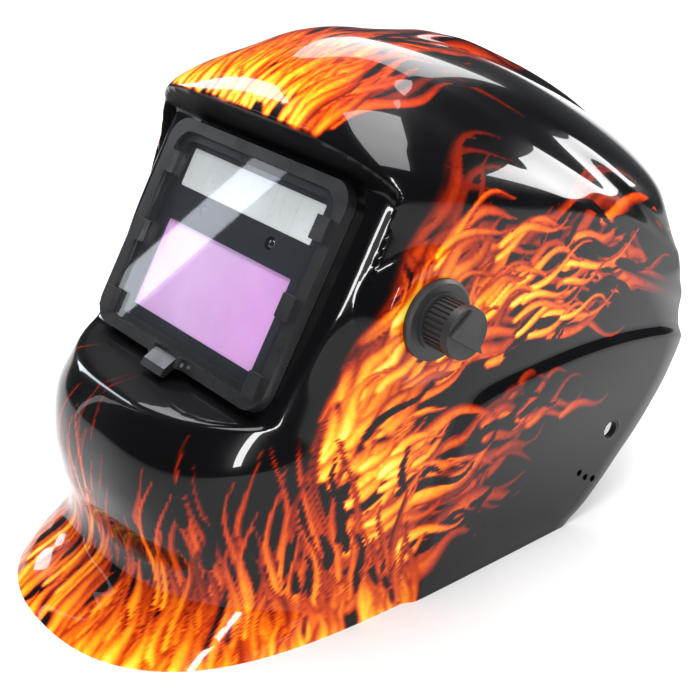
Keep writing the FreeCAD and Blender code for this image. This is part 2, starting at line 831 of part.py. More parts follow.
def make_latch():
    """The release latch at the frame's bottom edge, and its hinge pin."""
    body = new_body("release_latch_blank", shifted(
        WINDOW, x=-dim("latch_width") / 2, turn=Rotation(Vector(1, 1, 1), 120)))
    pad(body, "0", "dims.latch_width", polygon(LATCH_SECTION))
    eye = cylinder("latch_eye", latch_axis("latch_bore_length"),
                   "dims.latch_eye_radius", "dims.latch_bore_length")
    node(cut("release_latch", body, eye))
    node(cylinder("latch_pin", latch_axis("latch_pin_length"),
                  "dims.latch_pin_radius", "dims.latch_pin_length"))


# ---------------------------------------------------------------- filter cartridge
def make_housings():
    """The cartridge's front and rear housings, with their slots and windows."""
    front = new_body("cartridge_front", WINDOW)
    pad(front, "dims.cartridge_split", "dims.cartridge_front",
        rectangle("cartridge_width", "cartridge_height", "cartridge_round"))
    pocket(front, "dims.cartridge_split", "0",
           rectangle("glass_slot_width", "glass_slot_height", "slot_round", "view_rise"))
    pocket(front, "0", "dims.cartridge_front",
           rectangle("view_width", "view_height", "slot_round", "view_rise"))
    pocket(front, "dims.cartridge_split", "dims.cartridge_front",
           rectangle("solar_slot_width", "solar_slot_height", "slot_round", "solar_rise"))
    pocket(front, "dims.cartridge_split", "dims.cartridge_front",
           circle("sensor_slot_radius", -dim("sensor_reach"), dim("sensor_rise")),
           circle("sensor_slot_radius", dim("sensor_reach"), dim("sensor_rise")))
    node(front)

    rear = new_body("cartridge_rear", WINDOW)
    pad(rear, "dims.cartridge_rear", "dims.cartridge_split",
        rectangle("cartridge_width", "cartridge_height", "cartridge_round"))
    pocket(rear, "dims.cartridge_rear + dims.shell_skin", "dims.cartridge_split",
           rectangle("cavity_width", "cavity_height", "slot_round"))
    pocket(rear, "dims.cartridge_rear", "dims.cartridge_rear + dims.shell_skin",
           rectangle("view_width", "view_height", "slot_round", "view_rise"))
    node(rear)


def make_glass():
    """The coated filter, the two liquid crystal panels and the inner cover lens."""
    levels = [("uv_ir_filter", "-dims.filter_thick", "0"),
              ("lcd_panel_front", "-dims.filter_thick - dims.panel_thick", "-dims.filter_thick"),
              ("lcd_panel_rear", "-dims.filter_thick - 2 * dims.panel_thick",
               "-dims.filter_thick - dims.panel_thick")]
    for label, low, high in levels:
        glass = node(new_body(label, WINDOW))
        pad(glass, low, high, rectangle("glass_width", "glass_height", "slot_round", "view_rise"))
    inner = node(new_body("inner_cover_lens", WINDOW))
    pad(inner, "dims.cartridge_rear - dims.inner_lens_thick", "dims.cartridge_rear",
        rectangle("inner_lens_width", "inner_lens_height", "slot_round", "view_rise"))


def make_electronics():
    """The solar strip, the two arc sensors, the board and its two coin cells."""
    solar = node(new_body("solar_strip", WINDOW))
    top = "dims.cartridge_front - dims.solar_sink"
    pad(solar, f"{top} - dims.solar_thick", top,
        rectangle("solar_width", "solar_height", "slot_round", "solar_rise"))

    sensors = []
    for side in (-1, 1):
        place = shifted(WINDOW, side * dim("sensor_reach"), dim("sensor_rise"), dim("sensor_level"))
        stem = cylinder(f"sensor_stem_{side}", place, "dims.sensor_radius", "dims.sensor_stem")
        dome = primitive("Sphere", f"sensor_dome_{side}", shifted(place, z=dim("sensor_stem")),
                         Radius="dims.sensor_radius")
        dome.Angle1 = 0
        sensors += [stem, dome]
    node(fuse("light_sensors", *sensors))

    board = node(new_body("circuit_board", WINDOW))
    pad(board, "dims.board_level", "dims.board_level + dims.board_thick",
        rectangle("board_width", "board_height", "slot_round", "board_rise"))

    cells = []
    for side in (-1, 1):
        place = shifted(WINDOW, side * dim("dial_reach"), dim("board_rise"), dim("cell_level"))
        cells.append(cylinder(f"cell_{side}", place, "dims.cell_radius", "dims.cell_thick"))
    node(fuse("coin_cells", *cells))


def make_dials():
    """The sensitivity and delay dials on the cartridge's rear face."""
    for label, side in (("sensitivity_dial", 1), ("delay_dial", -1)):
        place = shifted(WINDOW, side * dim("dial_reach"), dim("dial_rise"),
                        dim("cartridge_rear") - dim("dial_gap"), Rotation(X_AXIS, 180))
        disc = cylinder(f"{label}_disc", place, "dims.dial_radius", "dims.dial_height")
        corner = shifted(place, -dim("dial_grip_width") / 2, -dim("dial_grip_length") / 2,
                         dim("dial_grip_start"))
        grip = box(f"{label}_grip", corner, "dims.dial_grip_width", "dims.dial_grip_length",
                   "dims.dial_grip_height")
        node(fuse(label, disc, grip))


def make_retainer():
    """The frame that holds the cartridge from behind, and its four screws."""
    retainer = node(new_body("cartridge_retainer", WINDOW))
    low = "-dims.sleeve_depth - dims.retainer_thick"
    pad(retainer, low, "-dims.sleeve_depth",
        rectangle("sleeve_width", "sleeve_height", "sleeve_round"))
    pocket(retainer, low, "-dims.sleeve_depth",
           rectangle("retainer_width", "retainer_height", "sight_round"))
    holes = [circle("screw_hole_radius", x * dim("screw_reach"), y * dim("screw_spread"))
             for x in (-1, 1) for y in (-1, 1)]
    pocket(retainer, low, "-dims.sleeve_depth", *holes)

    screws = []
    for i, place in enumerate(screw_places()):
        foot = shifted(place, z=-dim("retainer_thick"))
        screws.append(cylinder(f"screw_shank_{i}", foot, "dims.screw_radius", "dims.screw_length"))
        screws.append(cylinder(f"screw_head_{i}", shifted(foot, z=-dim("screw_head_height")),
                               "dims.screw_head_radius", "dims.screw_head_height"))
    node(fuse("retainer_screws", *screws))


# ---------------------------------------------------------------- shade knob
def make_base_ring():
    """The round base under the shade knob: flange, bevel and raised hub."""
    flange = cylinder("base_flange", KNOB, "dims.base_radius", "dims.base_flange")
    bevel = primitive("Cone", "base_bevel", shifted(KNOB, z=dim("base_flange")),
                      Radius1="dims.base_radius", Radius2="dims.base_radius - dims.base_bevel",
                      Height="dims.base_thick - dims.base_flange")
    hub = cylinder("base_hub", KNOB, "dims.base_hub_radius", "dims.base_hub_height")
    bore = cylinder("base_bore", KNOB, "dims.shaft_hole_radius", "dims.base_hub_height")
    node(cut("knob_base_ring", fuse("base_blank", flange, bevel, hub), bore))


def make_shade_knob():
    """The fluted shade knob: grip, cap and pointer."""
    grip = new_body("knob_grip", KNOB)
    top = "dims.knob_foot + dims.knob_grip"
    pad(grip, "dims.knob_foot", top, circle("knob_radius"))
    flute = pocket(grip, "dims.knob_foot", top, circle("flute_radius", dim("knob_radius")))
    pattern = grip.newObject("PartDesign::PolarPattern", "flutes")
    pattern.Originals = [flute]
    pattern.Axis = (flute.Profile[0], ["N_Axis"])
    pattern.Angle = 360
    pattern.Occurrences = int(dim("flute_count"))
    grip.Tip = pattern
    doc.recompute()
    pocket(grip, "dims.knob_foot", "dims.knob_foot + dims.knob_room", circle("knob_hollow"))
    cap = primitive("Cone", "knob_cap", shifted(KNOB, z=dim("knob_foot") + dim("knob_grip")),
                    Radius1="dims.knob_cap_radius", Radius2="dims.knob_radius",
                    Height="dims.knob_cap_height")
    pointer = new_body("knob_pointer", shifted(KNOB, turn=Rotation(Z_AXIS, dim("pointer_turn"))))
    heel, half = -dim("pointer_heel"), dim("pointer_half_width")
    pad(pointer, "dims.knob_foot + dims.pointer_level",
        "dims.knob_foot + dims.knob_height + dims.pointer_raise",
        polygon([(heel, -half), (dim("pointer_tip"), 0.0), (heel, half)]))
    whole = fuse("knob_blank", grip, cap, pointer)
    bore = cylinder("knob_bore", KNOB, "dims.shaft_radius", "dims.knob_bore_length")
    node(cut("shade_knob", whole, bore))


def make_potentiometer():
    """The potentiometer behind the wall: can and bush, shaft and nut."""
    can = cylinder("pot_can", shifted(KNOB, z=-dim("pot_sink") - dim("pot_depth")),
                   "dims.pot_radius", "dims.pot_depth")
    bushing = cylinder("pot_bushing", shifted(KNOB, z=dim("bushing_start")),
                       "dims.bushing_radius", "dims.bushing_length")
    room = cylinder("pot_room", shifted(KNOB, z=dim("pot_bore_start")),
                    "dims.bushing_bore", "dims.pot_bore_length")
    node(cut("potentiometer_body", fuse("pot_blank", can, bushing), room))
    node(cylinder("potentiometer_shaft", shifted(KNOB, z=dim("shaft_start")),
                  "dims.shaft_radius", "dims.shaft_length"))
    seat = shifted(KNOB, z=dim("base_hub_height"))
    nut = cylinder("nut_blank", seat, "dims.nut_radius", "dims.nut_thick")
    node(cut("potentiometer_nut", nut,
             cylinder("nut_bore", seat, "dims.bushing_radius", "dims.nut_thick")))


BEND_SHARE = 0.45


def tangent_route(points):
    """Straight runs joined by tangent arcs, as large as the shorter run beside each point allows."""
    edges, start, length = [], points[0], 0.0
    for a, b, c in zip(points, points[1:], points[2:]):
        into, out = (b - a).normalize(), (c - b).normalize()
        turn = into.getAngle(out)
        setback = BEND_SHARE * min((b - a).Length, (c - b).Length)
        radius = setback / math.tan(turn / 2)
        print(f"lead bend radius {radius:.1f}")
        enter, leave = b - into * setback, b + out * setback
        inward = (out - into).normalize()
        middle = b + inward * (math.hypot(radius, setback) - radius)
        edges.append(Part.LineSegment(start, enter).toShape())
        edges.append(Part.Arc(enter, middle, leave).toShape())
        length += (enter - start).Length + radius * turn
        start = leave
    edges.append(Part.LineSegment(start, points[-1]).toShape())
    length += (points[-1] - start).Length
    return Part.Wire(edges), length


def make_lead():
    """The short lead from the cartridge's rear face to the potentiometer."""
    start = Vector(dim("lead_reach"), dim("lead_rise"), dim("cartridge_rear"))
    leave = WINDOW.multVec(start)
    behind = WINDOW.multVec(start - Z_AXIS * dim("lead_run"))
    bend = Vector(dim("lead_x"), dim("lead_y"), dim("lead_z"))
    arrive = KNOB.multVec(Vector(0, 0, -dim("pot_sink") - dim("pot_depth")))
    points = [leave, behind, bend, arrive - X_AXIS * dim("lead_run"), arrive]
    route, length = tangent_route(points)
    direction = (points[1] - points[0]).normalize()
    profile = Part.Wire(Part.Circle(points[0], direction, dim("lead_radius")).toShape())
    tube = route.makePipeShell([profile], True, False)
    expected = math.pi * dim("lead_radius") ** 2 * length
    print(f"lead length {length:.1f}, volume ratio {tube.Volume / expected:.4f}")
    return node(feature("potentiometer_lead", tube))


# ---------------------------------------------------------------- headgear
def elliptic_drum(half_width, half_length, low, high):
    """An upright drum with an elliptic outline."""
    major = Part.Ellipse(Vector(0, half_length, low), Vector(half_width, 0, low), Vector(0, 0, low))
    face = Part.Face(Part.Wire(major.toShape()))
    return face.extrude(Vector(0, 0, high - low))


def elliptic_ring(width, length, thick, height):
    """A hoop of even thickness, centred on its own mid-plane."""
    outer = elliptic_drum(width, length, -height / 2, height / 2)
    inner = elliptic_drum(width - thick, length - thick, -height, height)
    return outer.cut(inner)


def make_bands(stud_bore):
    """Headband, sweatband over its front half, and crown strap."""
    width, length = dim("band_half_width"), dim("band_half_length")
    thick = dim("band_thick")
    band = elliptic_ring(width, length, thick, dim("band_height"))
    node(cut("headband", feature("band_blank", band, BAND), stud_bore))

    inset = thick + dim("band_gap")
    pad_ring = elliptic_ring(width - inset, length - inset, dim("pad_thick"), dim("pad_height"))
    corner = Vector(-width, -length - dim("pad_end"), -dim("pad_height") / 2)
    front = Part.makeBox(2 * width, length, dim("pad_height"), corner)
    node(feature("sweatband", pad_ring.common(front), BAND))

    rise = dim("band_rise") - dim("strap_drop")
    half = width - thick - dim("strap_gap")
    tall = dim("strap_crown") - rise
    arch = elliptic_ring(half, tall, dim("strap_thick"), dim("strap_width"))
    corner = Vector(-width, 0, -dim("strap_width") / 2)
    upper = Part.makeBox(2 * width, tall, dim("strap_width"), corner)
    lay = shifted(HEAD, y=dim("band_shift"), z=rise, turn=Rotation(X_AXIS, 90))
    node(cut("crown_strap", feature("strap_blank", arch.common(upper), lay), stud_bore))


def make_arms(stud_line, stud_bore):
    """The two pivot arms with their hubs, and the two studs that hold them to the band."""
    room = elliptic_drum(dim("band_half_width"), dim("band_half_length"),
                         -dim("pad_height"), dim("pad_height"))
    drum = feature("band_room", room, BAND)
    face = dim("arm_face") - dim("arm_thick")
    block_length = face - dim("block_face")
    depth = dim("band_shift") - dim("arm_width") / 2
    studs = []
    places = side_frames(dim("pivot_y"), dim("pivot_z"))
    for label, side, frame in (("left", 1, places[0]), ("right", -1, places[1])):
        disc = cylinder(f"{label}_disc", shifted(frame, z=face), "dims.arm_radius", "dims.arm_thick")
        start = min(side * face, side * dim("arm_face"))
        leg = box(f"{label}_leg", shifted(HEAD, start, depth),
                  "dims.arm_thick", "dims.arm_width", "dims.band_rise + dims.arm_rise")
        start = min(side * dim("block_face"), side * (dim("block_face") + block_length))
        block = box(f"{label}_block", shifted(HEAD, start, depth, dim("band_rise") - dim("arm_rise")),
                    "dims.arm_face - dims.arm_thick - dims.block_face", "dims.arm_width",
                    "dims.block_height")
        hub = cylinder(f"{label}_hub", shifted(frame, z=face), "dims.hub_radius",
                       "dims.hub_tip - dims.arm_face + dims.arm_thick")
        blank = fuse(f"{label}_arm_blank", disc, leg, block, hub)
        bore = cylinder(f"{label}_hub_bore", shifted(frame, z=face),
                        "dims.hub_bore_radius", "dims.hub_bore_length")
        flare = primitive("Cone", f"{label}_hub_flare", shifted(frame, z=face),
                          Radius1="dims.flare_radius", Radius2="dims.hub_bore_radius",
                          Height="dims.flare_height")
        node(cut(f"pivot_arm_{label}", blank, bore, flare, drum, stud_bore))
        far = dim("stud_start") + dim("stud_length")
        start = min(side * dim("stud_start"), side * far)
        shank = cylinder(f"{label}_shank", shifted(stud_line, z=start),
                         "dims.stud_radius", "dims.stud_length")
        start = min(side * dim("stud_start"), side * (dim("stud_start") + dim("stud_head_thick")))
        head = cylinder(f"{label}_stud_head", shifted(stud_line, z=start),
                        "dims.stud_head_radius", "dims.stud_head_thick")
        studs += [shank, head]
    node(fuse("arm_studs", *studs))


def make_ratchet():
    """The size ratchet at the back of the band: housing and knob."""
    back = Rotation(X_AXIS, -90)
    length = dim("band_half_length")
    housing = new_body("ratchet_blank", shifted(BAND, y=length - dim("housing_overlap"), turn=back))
    pad(housing, "0", "dims.housing_thick",
        rectangle("housing_width", "housing_height", "housing_round"))
    gap = dim("band_gap")
    slot = elliptic_ring(dim("band_half_width") + gap, length + gap,
                         dim("band_thick") + 2 * gap, dim("band_height") + 2 * gap)
    axle = shifted(BAND, y=length + dim("spindle_start"), turn=back)
    bore = cylinder("ratchet_bore", axle, "dims.spindle_bore_radius", "dims.housing_thick")
    node(cut("ratchet_housing", housing, feature("band_slot", slot, BAND), bore))

    wheel = new_body("ratchet_wheel", shifted(BAND, y=length + dim("ratchet_start"), turn=back))
    pad(wheel, "0", "dims.ratchet_height", circle("ratchet_radius"))
    scallop = pocket(wheel, "0", "dims.ratchet_height",
                     circle("scallop_radius", dim("ratchet_radius") + dim("scallop_shift")))
    ring = wheel.newObject("PartDesign::PolarPattern", "scallops")
    ring.Originals = [scallop]
    ring.Axis = (scallop.Profile[0], ["N_Axis"])
    ring.Angle = 360
    ring.Occurrences = int(dim("scallop_count"))
    wheel.Tip = ring
    spindle = cylinder("ratchet_spindle", axle, "dims.spindle_radius", "dims.spindle_length")
    node(fuse("ratchet_knob", wheel, spindle))


def make_headgear():
    """Headband, sweatband, crown strap, pivot arms and size ratchet."""
    stud_line = shifted(HEAD, y=dim("band_shift"), z=dim("band_rise"), turn=Rotation(Y_AXIS, 90))
    stud_bore = cylinder("stud_bore", shifted(stud_line, z=-dim("stud_bore_length") / 2),
                         "dims.stud_radius", "dims.stud_bore_length")
    make_bands(stud_bore)
    make_arms(stud_line, stud_bore)
    make_ratchet()


def main():
    """Build every sub-part, test it and write it."""
    make_shell()
    make_lens_frame()
    make_cover_lens()
    make_latch()
    make_housings()
    make_glass()
    make_electronics()
    make_dials()
    make_retainer()
    make_base_ring()
    make_shade_knob()
    make_potentiometer()
    make_lead()
    make_headgear()
    doc.recompute()
    faults = [o.Label for o in doc.Objects if {"Invalid", "Error"} & set(o.State)]
    if faults:
        raise RuntimeError(f"objects in error: {faults}")
    os.makedirs("parts", exist_ok=True)
    for old in os.listdir("parts"):
        os.remove(os.path.join("parts", old))
    for obj in NODES:
        shape = obj.Shape
        if shape.isNull() or not shape.isValid():
            raise RuntimeError(f"{obj.Label} has no valid shape")
        reach = shape.BoundBox
        print(f"{obj.Label}: {len(shape.Solids)} solids, {shape.Volume / 1000:.2f} cm3, "
              f"x {reach.XMin:.1f}..{reach.XMax:.1f} y {reach.YMin:.1f}..{reach.YMax:.1f} "
              f"z {reach.ZMin:.1f}..{reach.ZMax:.1f}")
        shape.exportStep(os.path.join("parts", f"{obj.Label}.step"))


main()
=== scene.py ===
import math

import bpy
import numpy as np
from mathutils import Matrix, Vector


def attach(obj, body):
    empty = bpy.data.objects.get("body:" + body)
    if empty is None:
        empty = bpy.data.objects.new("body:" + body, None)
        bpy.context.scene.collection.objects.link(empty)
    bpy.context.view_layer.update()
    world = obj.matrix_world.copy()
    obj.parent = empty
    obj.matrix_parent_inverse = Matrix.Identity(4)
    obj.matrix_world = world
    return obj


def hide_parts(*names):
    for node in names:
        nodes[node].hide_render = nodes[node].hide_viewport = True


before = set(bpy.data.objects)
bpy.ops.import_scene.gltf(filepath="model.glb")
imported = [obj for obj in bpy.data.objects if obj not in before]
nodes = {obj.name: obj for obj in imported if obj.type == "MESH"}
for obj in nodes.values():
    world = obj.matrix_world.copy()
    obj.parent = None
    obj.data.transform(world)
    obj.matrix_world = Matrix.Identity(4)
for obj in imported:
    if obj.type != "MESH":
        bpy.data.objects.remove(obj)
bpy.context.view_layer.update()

MM = 0.001
scene = bpy.context.scene


# ---------------------------------------------------------------- camera
CAMERA_PLACE = (0.4645, -0.3778, 0.3784)
CAMERA_LOOK = (-0.6931, 0.5665, -0.4457)
CAMERA_LENS = 71.3


def make_camera():
    """A long lens at the wearer's front left, a little above."""
    data = bpy.data.cameras.new("camera")
    data.sensor_width = 36.0
    data.lens = CAMERA_LENS
    data.clip_end = 50.0
    camera = bpy.data.objects.new("camera", data)
    scene.collection.objects.link(camera)
    camera.location = CAMERA_PLACE
    camera.rotation_euler = Vector(CAMERA_LOOK).to_track_quat("-Z", "Y").to_euler()
    scene.camera = camera


make_camera()


# ---------------------------------------------------------------- mesh helpers
def link(obj):
    """Put an object in the scene."""
    scene.collection.objects.link(obj)
    return obj


def mesh_object(name, verts, faces, smooth=True):
    """A mesh object from points in metres."""
    mesh = bpy.data.meshes.new(name)
    mesh.from_pydata([tuple(v) for v in verts], [], faces)
    mesh.update()
    if smooth:
        mesh.shade_smooth()
    return link(bpy.data.objects.new(name, mesh))


def apply_modifiers(obj):
    """Bake an object's modifiers into its mesh."""
    depsgraph = bpy.context.evaluated_depsgraph_get()
    mesh = bpy.data.meshes.new_from_object(obj.evaluated_get(depsgraph))
    obj.modifiers.clear()
    old, obj.data = obj.data, mesh
    bpy.data.meshes.remove(old)
    return obj


def nurbs_cord(name, points, diameter):
    """A smooth round cord that follows its control points."""
    curve = bpy.data.curves.new(name, "CURVE")
    curve.dimensions = "3D"
    curve.bevel_depth = 1.0
    curve.bevel_resolution = 6
    curve.resolution_u = 16
    curve.use_fill_caps = True
    spline = curve.splines.new("NURBS")
    spline.points.add(len(points) - 1)
    for point, place in zip(spline.points, points):
        point.co = (*place, 1.0)
        point.radius = diameter / 2
    spline.order_u = 3
    spline.use_endpoint_u = True
    return link(bpy.data.objects.new(name, curve))


# ---------------------------------------------------------------- potentiometer lead
LEAD_POINTS = [
    (0.04600, -0.04948, 0.16178), (0.04600, -0.03753, 0.15449), (0.05500, -0.02900, 0.14600),
    (0.06715, -0.03000, 0.13980), (0.08115, -0.03000, 0.13980)]
lead = nurbs_cord("lead", LEAD_POINTS, 0.0026)
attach(lead, "shell")
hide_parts("potentiometer_lead")


# ---------------------------------------------------------------- materials
class Shader:
    """A small builder for node materials around one Principled shader."""

    def __init__(self, name):
        self.material = bpy.data.materials.new(name)
        self.material.use_nodes = True
        self.tree = self.material.node_tree
        self.main = self.tree.nodes["Principled BSDF"]
        self.out = self.tree.nodes["Material Output"]
        self._place = None

    def set(self, **values):
        """Constant values straight on the shader's own sockets."""
        for key, value in values.items():
            self.main.inputs[key.replace("_", " ")].default_value = value
        return self

    def new(self, kind, **settings):
        """A node of a kind, with its settings."""
        made = self.tree.nodes.new(kind)
        for key, value in settings.items():
            setattr(made, key, value)
        return made

    def join(self, source, target):
        """Link an output to an input."""
        self.tree.links.new(source, target)

    def place(self):
        """Object coordinates, in metres."""
        if self._place is None:
            self._place = self.new("ShaderNodeTexCoord")
        return self._place.outputs["Object"]

    def scaled(self, scale):
        """Object coordinates stretched along the three axes."""
        mapping = self.new("ShaderNodeMapping")
        mapping.inputs["Scale"].default_value = scale
        self.join(self.place(), mapping.inputs["Vector"])
        return mapping.outputs["Vector"]

    def noise(self, scale, detail=3.0, rough=0.5, vector=None, distortion=0.0):
        """Noise over the surface, from 0 to 1."""
        node = self.new("ShaderNodeTexNoise")
        node.inputs["Scale"].default_value = scale
        node.inputs["Detail"].default_value = detail
        node.inputs["Roughness"].default_value = rough
        node.inputs["Distortion"].default_value = distortion
        self.join(vector or self.place(), node.inputs["Vector"])
        return node.outputs["Fac"]

    def attribute(self, name):
        """A value stored at the mesh's points."""
        node = self.new("ShaderNodeAttribute", attribute_name=name)
        return node.outputs["Fac"]

    def math(self, operation, a, b=0.0):
        """Arithmetic on numbers or outputs."""
        node = self.new("ShaderNodeMath", operation=operation)
        for i, value in enumerate((a, b)):
            if isinstance(value, (int, float)):
                node.inputs[i].default_value = value
            else:
                self.join(value, node.inputs[i])
        return node.outputs[0]

    def remap(self, value, low, high, to_low, to_high):
        """A value moved from one range to another."""
        node = self.new("ShaderNodeMapRange")
        self.join(value, node.inputs["Value"])
        for key, v in (("From Min", low), ("From Max", high), ("To Min", to_low), ("To Max", to_high)):
            node.inputs[key].default_value = v
        return node.outputs["Result"]

    def ramp(self, value, stops):
        """A value turned into a colour, by stops of a position and a colour."""
        node = self.new("ShaderNodeValToRGB")
        elements = node.color_ramp.elements
        elements[0].position, elements[1].position = stops[0][0], stops[-1][0]
        elements[0].color, elements[-1].color = (*stops[0][1], 1.0), (*stops[-1][1], 1.0)
        for at, colour in stops[1:-1]:
            elements.new(at).color = (*colour, 1.0)
        self.join(value, node.inputs["Fac"])
        return node.outputs["Color"]

    def mix(self, share, a, b):
        """A blend of two colours."""
        node = self.new("ShaderNodeMix", data_type="RGBA")
        for key, value in ((0, share), (6, a), (7, b)):
            if isinstance(value, (int, float)):
                node.inputs[key].default_value = value
            elif isinstance(value, tuple):
                node.inputs[key].default_value = (*value, 1.0)
            else:
                self.join(value, node.inputs[key])
        return node.outputs[2]

    def colour(self, source):
        """Drive the base colour."""
        self.join(source, self.main.inputs["Base Color"])
        return self

    def rough(self, source):
        """Drive the roughness."""
        self.join(source, self.main.inputs["Roughness"])
        return self

    def bump(self, height, distance, strength=1.0):
        """Drive the shading normal by a height."""
        node = self.new("ShaderNodeBump")
        node.inputs["Distance"].default_value = distance
        node.inputs["Strength"].default_value = strength
        self.join(height, node.inputs["Height"])
        self.join(node.outputs["Normal"], self.main.inputs["Normal"])
        return self


def plastic(name, dark, light, rough=0.45, grain=1400.0, depth=0.00004, coat=0.0):
    """Moulded plastic: fine grain, slow colour drift, worn gloss."""
    shader = Shader(name)
    drift = shader.noise(38.0, 4.0)
    fine = shader.noise(grain, 2.0)
    shader.colour(shader.ramp(drift, [(0.3, dark), (0.7, light)]))
    patches = shader.noise(90.0, 3.0)
    shader.rough(shader.remap(patches, 0.3, 0.7, rough - 0.07, rough + 0.09))
    shader.bump(fine, depth)
    shader.set(Coat_Weight=coat, Coat_Roughness=0.08)
    return shader.material


def metal(name, tone, rough=0.3, stretch=(60.0, 900.0, 900.0)):
    """Plated or ground metal with fine drawn lines."""
    shader = Shader(name)
    lines = shader.noise(1.0, 3.0, vector=shader.scaled(stretch))
    darker = tuple(c * 0.75 for c in tone)
    shader.colour(shader.ramp(lines, [(0.3, darker), (0.7, tone)]))
    shader.rough(shader.remap(lines, 0.3, 0.7, rough - 0.08, rough + 0.12))
    shader.bump(lines, 0.00002)
    shader.set(Metallic=1.0)
    return shader.material


def make_shell_paint():
    """Gloss black under airbrushed flames and clear varnish."""
    shader = Shader("shell_paint")
    heat = shader.attribute("blaze")
    grain = shader.noise(420.0, 5.0, 0.62)
    streak = shader.noise(150.0, 4.0, 0.55, distortion=1.2)
    wobble = shader.math("MULTIPLY", shader.math("SUBTRACT", streak, 0.5), 0.34)
    fine = shader.math("MULTIPLY", shader.math("SUBTRACT", grain, 0.5), 0.16)
    swing = shader.math("MULTIPLY", shader.math("ADD", wobble, fine), shader.math("MINIMUM", heat, 0.7))
    warm = shader.math("ADD", heat, swing)
    flame = shader.ramp(warm, [
        (0.04, (0.0025, 0.0025, 0.003)), (0.15, (0.030, 0.003, 0.002)), (0.28, (0.19, 0.010, 0.002)),
        (0.41, (0.50, 0.042, 0.003)), (0.54, (0.76, 0.145, 0.005)), (0.67, (0.87, 0.33, 0.010)),
        (0.80, (0.90, 0.55, 0.028)), (1.0, (0.96, 0.80, 0.19))])
    shader.colour(flame)
    smears = shader.noise(26.0, 4.0)
    varnish = shader.attribute("varnish")
    bare = shader.math("MULTIPLY", shader.math("SUBTRACT", 1.0, varnish), 0.36)
    shader.rough(shader.math("ADD", shader.remap(smears, 0.35, 0.7, 0.16, 0.30), bare))
    shader.bump(shader.noise(330.0, 2.0), 0.00003, 0.5)
    shader.join(varnish, shader.main.inputs["Coat Weight"])
    shader.set(Coat_Roughness=0.02, Coat_IOR=1.30, Specular_IOR_Level=0.05)
    return shader.material


def make_pane(name, tint, gloss=0.02):
    """A thin clear pane: mostly see-through, mirror-like at a slant."""
    shader = Shader(name)
    through = shader.new("ShaderNodeBsdfTransparent")
    haze = shader.noise(60.0, 3.0)
    shade = shader.ramp(haze, [(0.3, tint), (0.7, tuple(min(1.0, c * 1.03) for c in tint))])
    shader.join(shade, through.inputs["Color"])
    mirror = shader.new("ShaderNodeBsdfGlossy")
    mirror.inputs["Roughness"].default_value = gloss
    mirror.inputs["Color"].default_value = (0.9, 0.95, 1.0, 1.0)
    slant = shader.new("ShaderNodeLayerWeight")
    slant.inputs["Blend"].default_value = 0.5
    edge = shader.math("POWER", slant.outputs["Facing"], 3.0)
    share = shader.math("ADD", shader.math("MULTIPLY", edge, 0.7), 0.035)
    both = shader.new("ShaderNodeMixShader")
    shader.join(share, both.inputs[0])
    shader.join(through.outputs[0], both.inputs[1])
    shader.join(mirror.outputs[0], both.inputs[2])
    shader.join(both.outputs[0], shader.out.inputs["Surface"])
    shader.tree.nodes.remove(shader.main)
    return shader.material


def make_filter():
    """Interference-coated filter glass: pink to lilac."""
    shader = Shader("filter_coating")
    split = shader.new("ShaderNodeSeparateXYZ")
    shader.join(shader.place(), split.inputs[0])
    cloud = shader.noise(16.0, 2.0)
    across = shader.math("ADD", shader.math("MULTIPLY", split.outputs["X"], 9.0), 0.28)
    tone = shader.math("ADD", across, shader.math("MULTIPLY", cloud, 0.42))
    shader.colour(shader.ramp(tone, [(0.1, (0.96, 0.50, 0.84)), (0.45, (0.97, 0.58, 0.88)),
                                     (0.75, (0.96, 0.48, 0.84)), (1.0, (0.94, 0.44, 0.82))]))
    shader.rough(shader.remap(shader.noise(220.0, 2.0), 0.3, 0.7, 0.10, 0.2))
    shader.set(Coat_Weight=1.0, Coat_Roughness=0.02)
    return shader.material


def make_solar():
    """Pale solar strip with faint cell lines."""
    shader = Shader("solar_cells")
    split = shader.new("ShaderNodeSeparateXYZ")
    shader.join(shader.place(), split.inputs[0])
    cells = shader.math("MULTIPLY", split.outputs["X"], 62.0)
    phase = shader.math("FRACT", shader.math("ADD", cells, 0.5))
    line = shader.math("LESS_THAN", shader.math("ABSOLUTE", shader.math("SUBTRACT", phase, 0.5)), 0.018)
    body = shader.ramp(shader.noise(45.0, 3.0), [(0.3, (0.86, 0.82, 0.74)), (0.7, (0.93, 0.90, 0.83))])
    shader.colour(shader.mix(shader.math("MULTIPLY", line, 0.16), body, (0.35, 0.33, 0.30)))
    shader.rough(shader.remap(shader.noise(300.0, 2.0), 0.3, 0.7, 0.25, 0.38))
    shader.set(Coat_Weight=0.6, Coat_Roughness=0.05)
    return shader.material


def make_cloth():
    """Knitted cotton over foam: fine ribs and soft fuzz."""
    shader = Shader("sweat_knit")
    ribs = shader.noise(1.0, 2.0, vector=shader.scaled((900.0, 900.0, 2600.0)))
    rows = shader.new("ShaderNodeTexWave", bands_direction="Z")
    rows.inputs["Scale"].default_value = 210.0
    rows.inputs["Distortion"].default_value = 1.6
    rows.inputs["Detail"].default_value = 2.0
    shader.join(shader.place(), rows.inputs["Vector"])
    knit = shader.math("ADD", shader.math("MULTIPLY", rows.outputs["Fac"], 0.6),
                       shader.math("MULTIPLY", ribs, 0.4))
    shade = shader.math("ADD", shader.math("MULTIPLY", knit, 0.55),
                        shader.math("MULTIPLY", shader.noise(50.0), 0.45))
    shader.colour(shader.ramp(shade, [(0.3, (0.022, 0.022, 0.025)), (0.7, (0.075, 0.075, 0.082))]))
    shader.rough(shader.remap(knit, 0.2, 0.8, 0.85, 0.98))
    shader.bump(knit, 0.00025)
    shader.set(Sheen_Weight=0.35, Sheen_Roughness=0.5)
    return shader.material


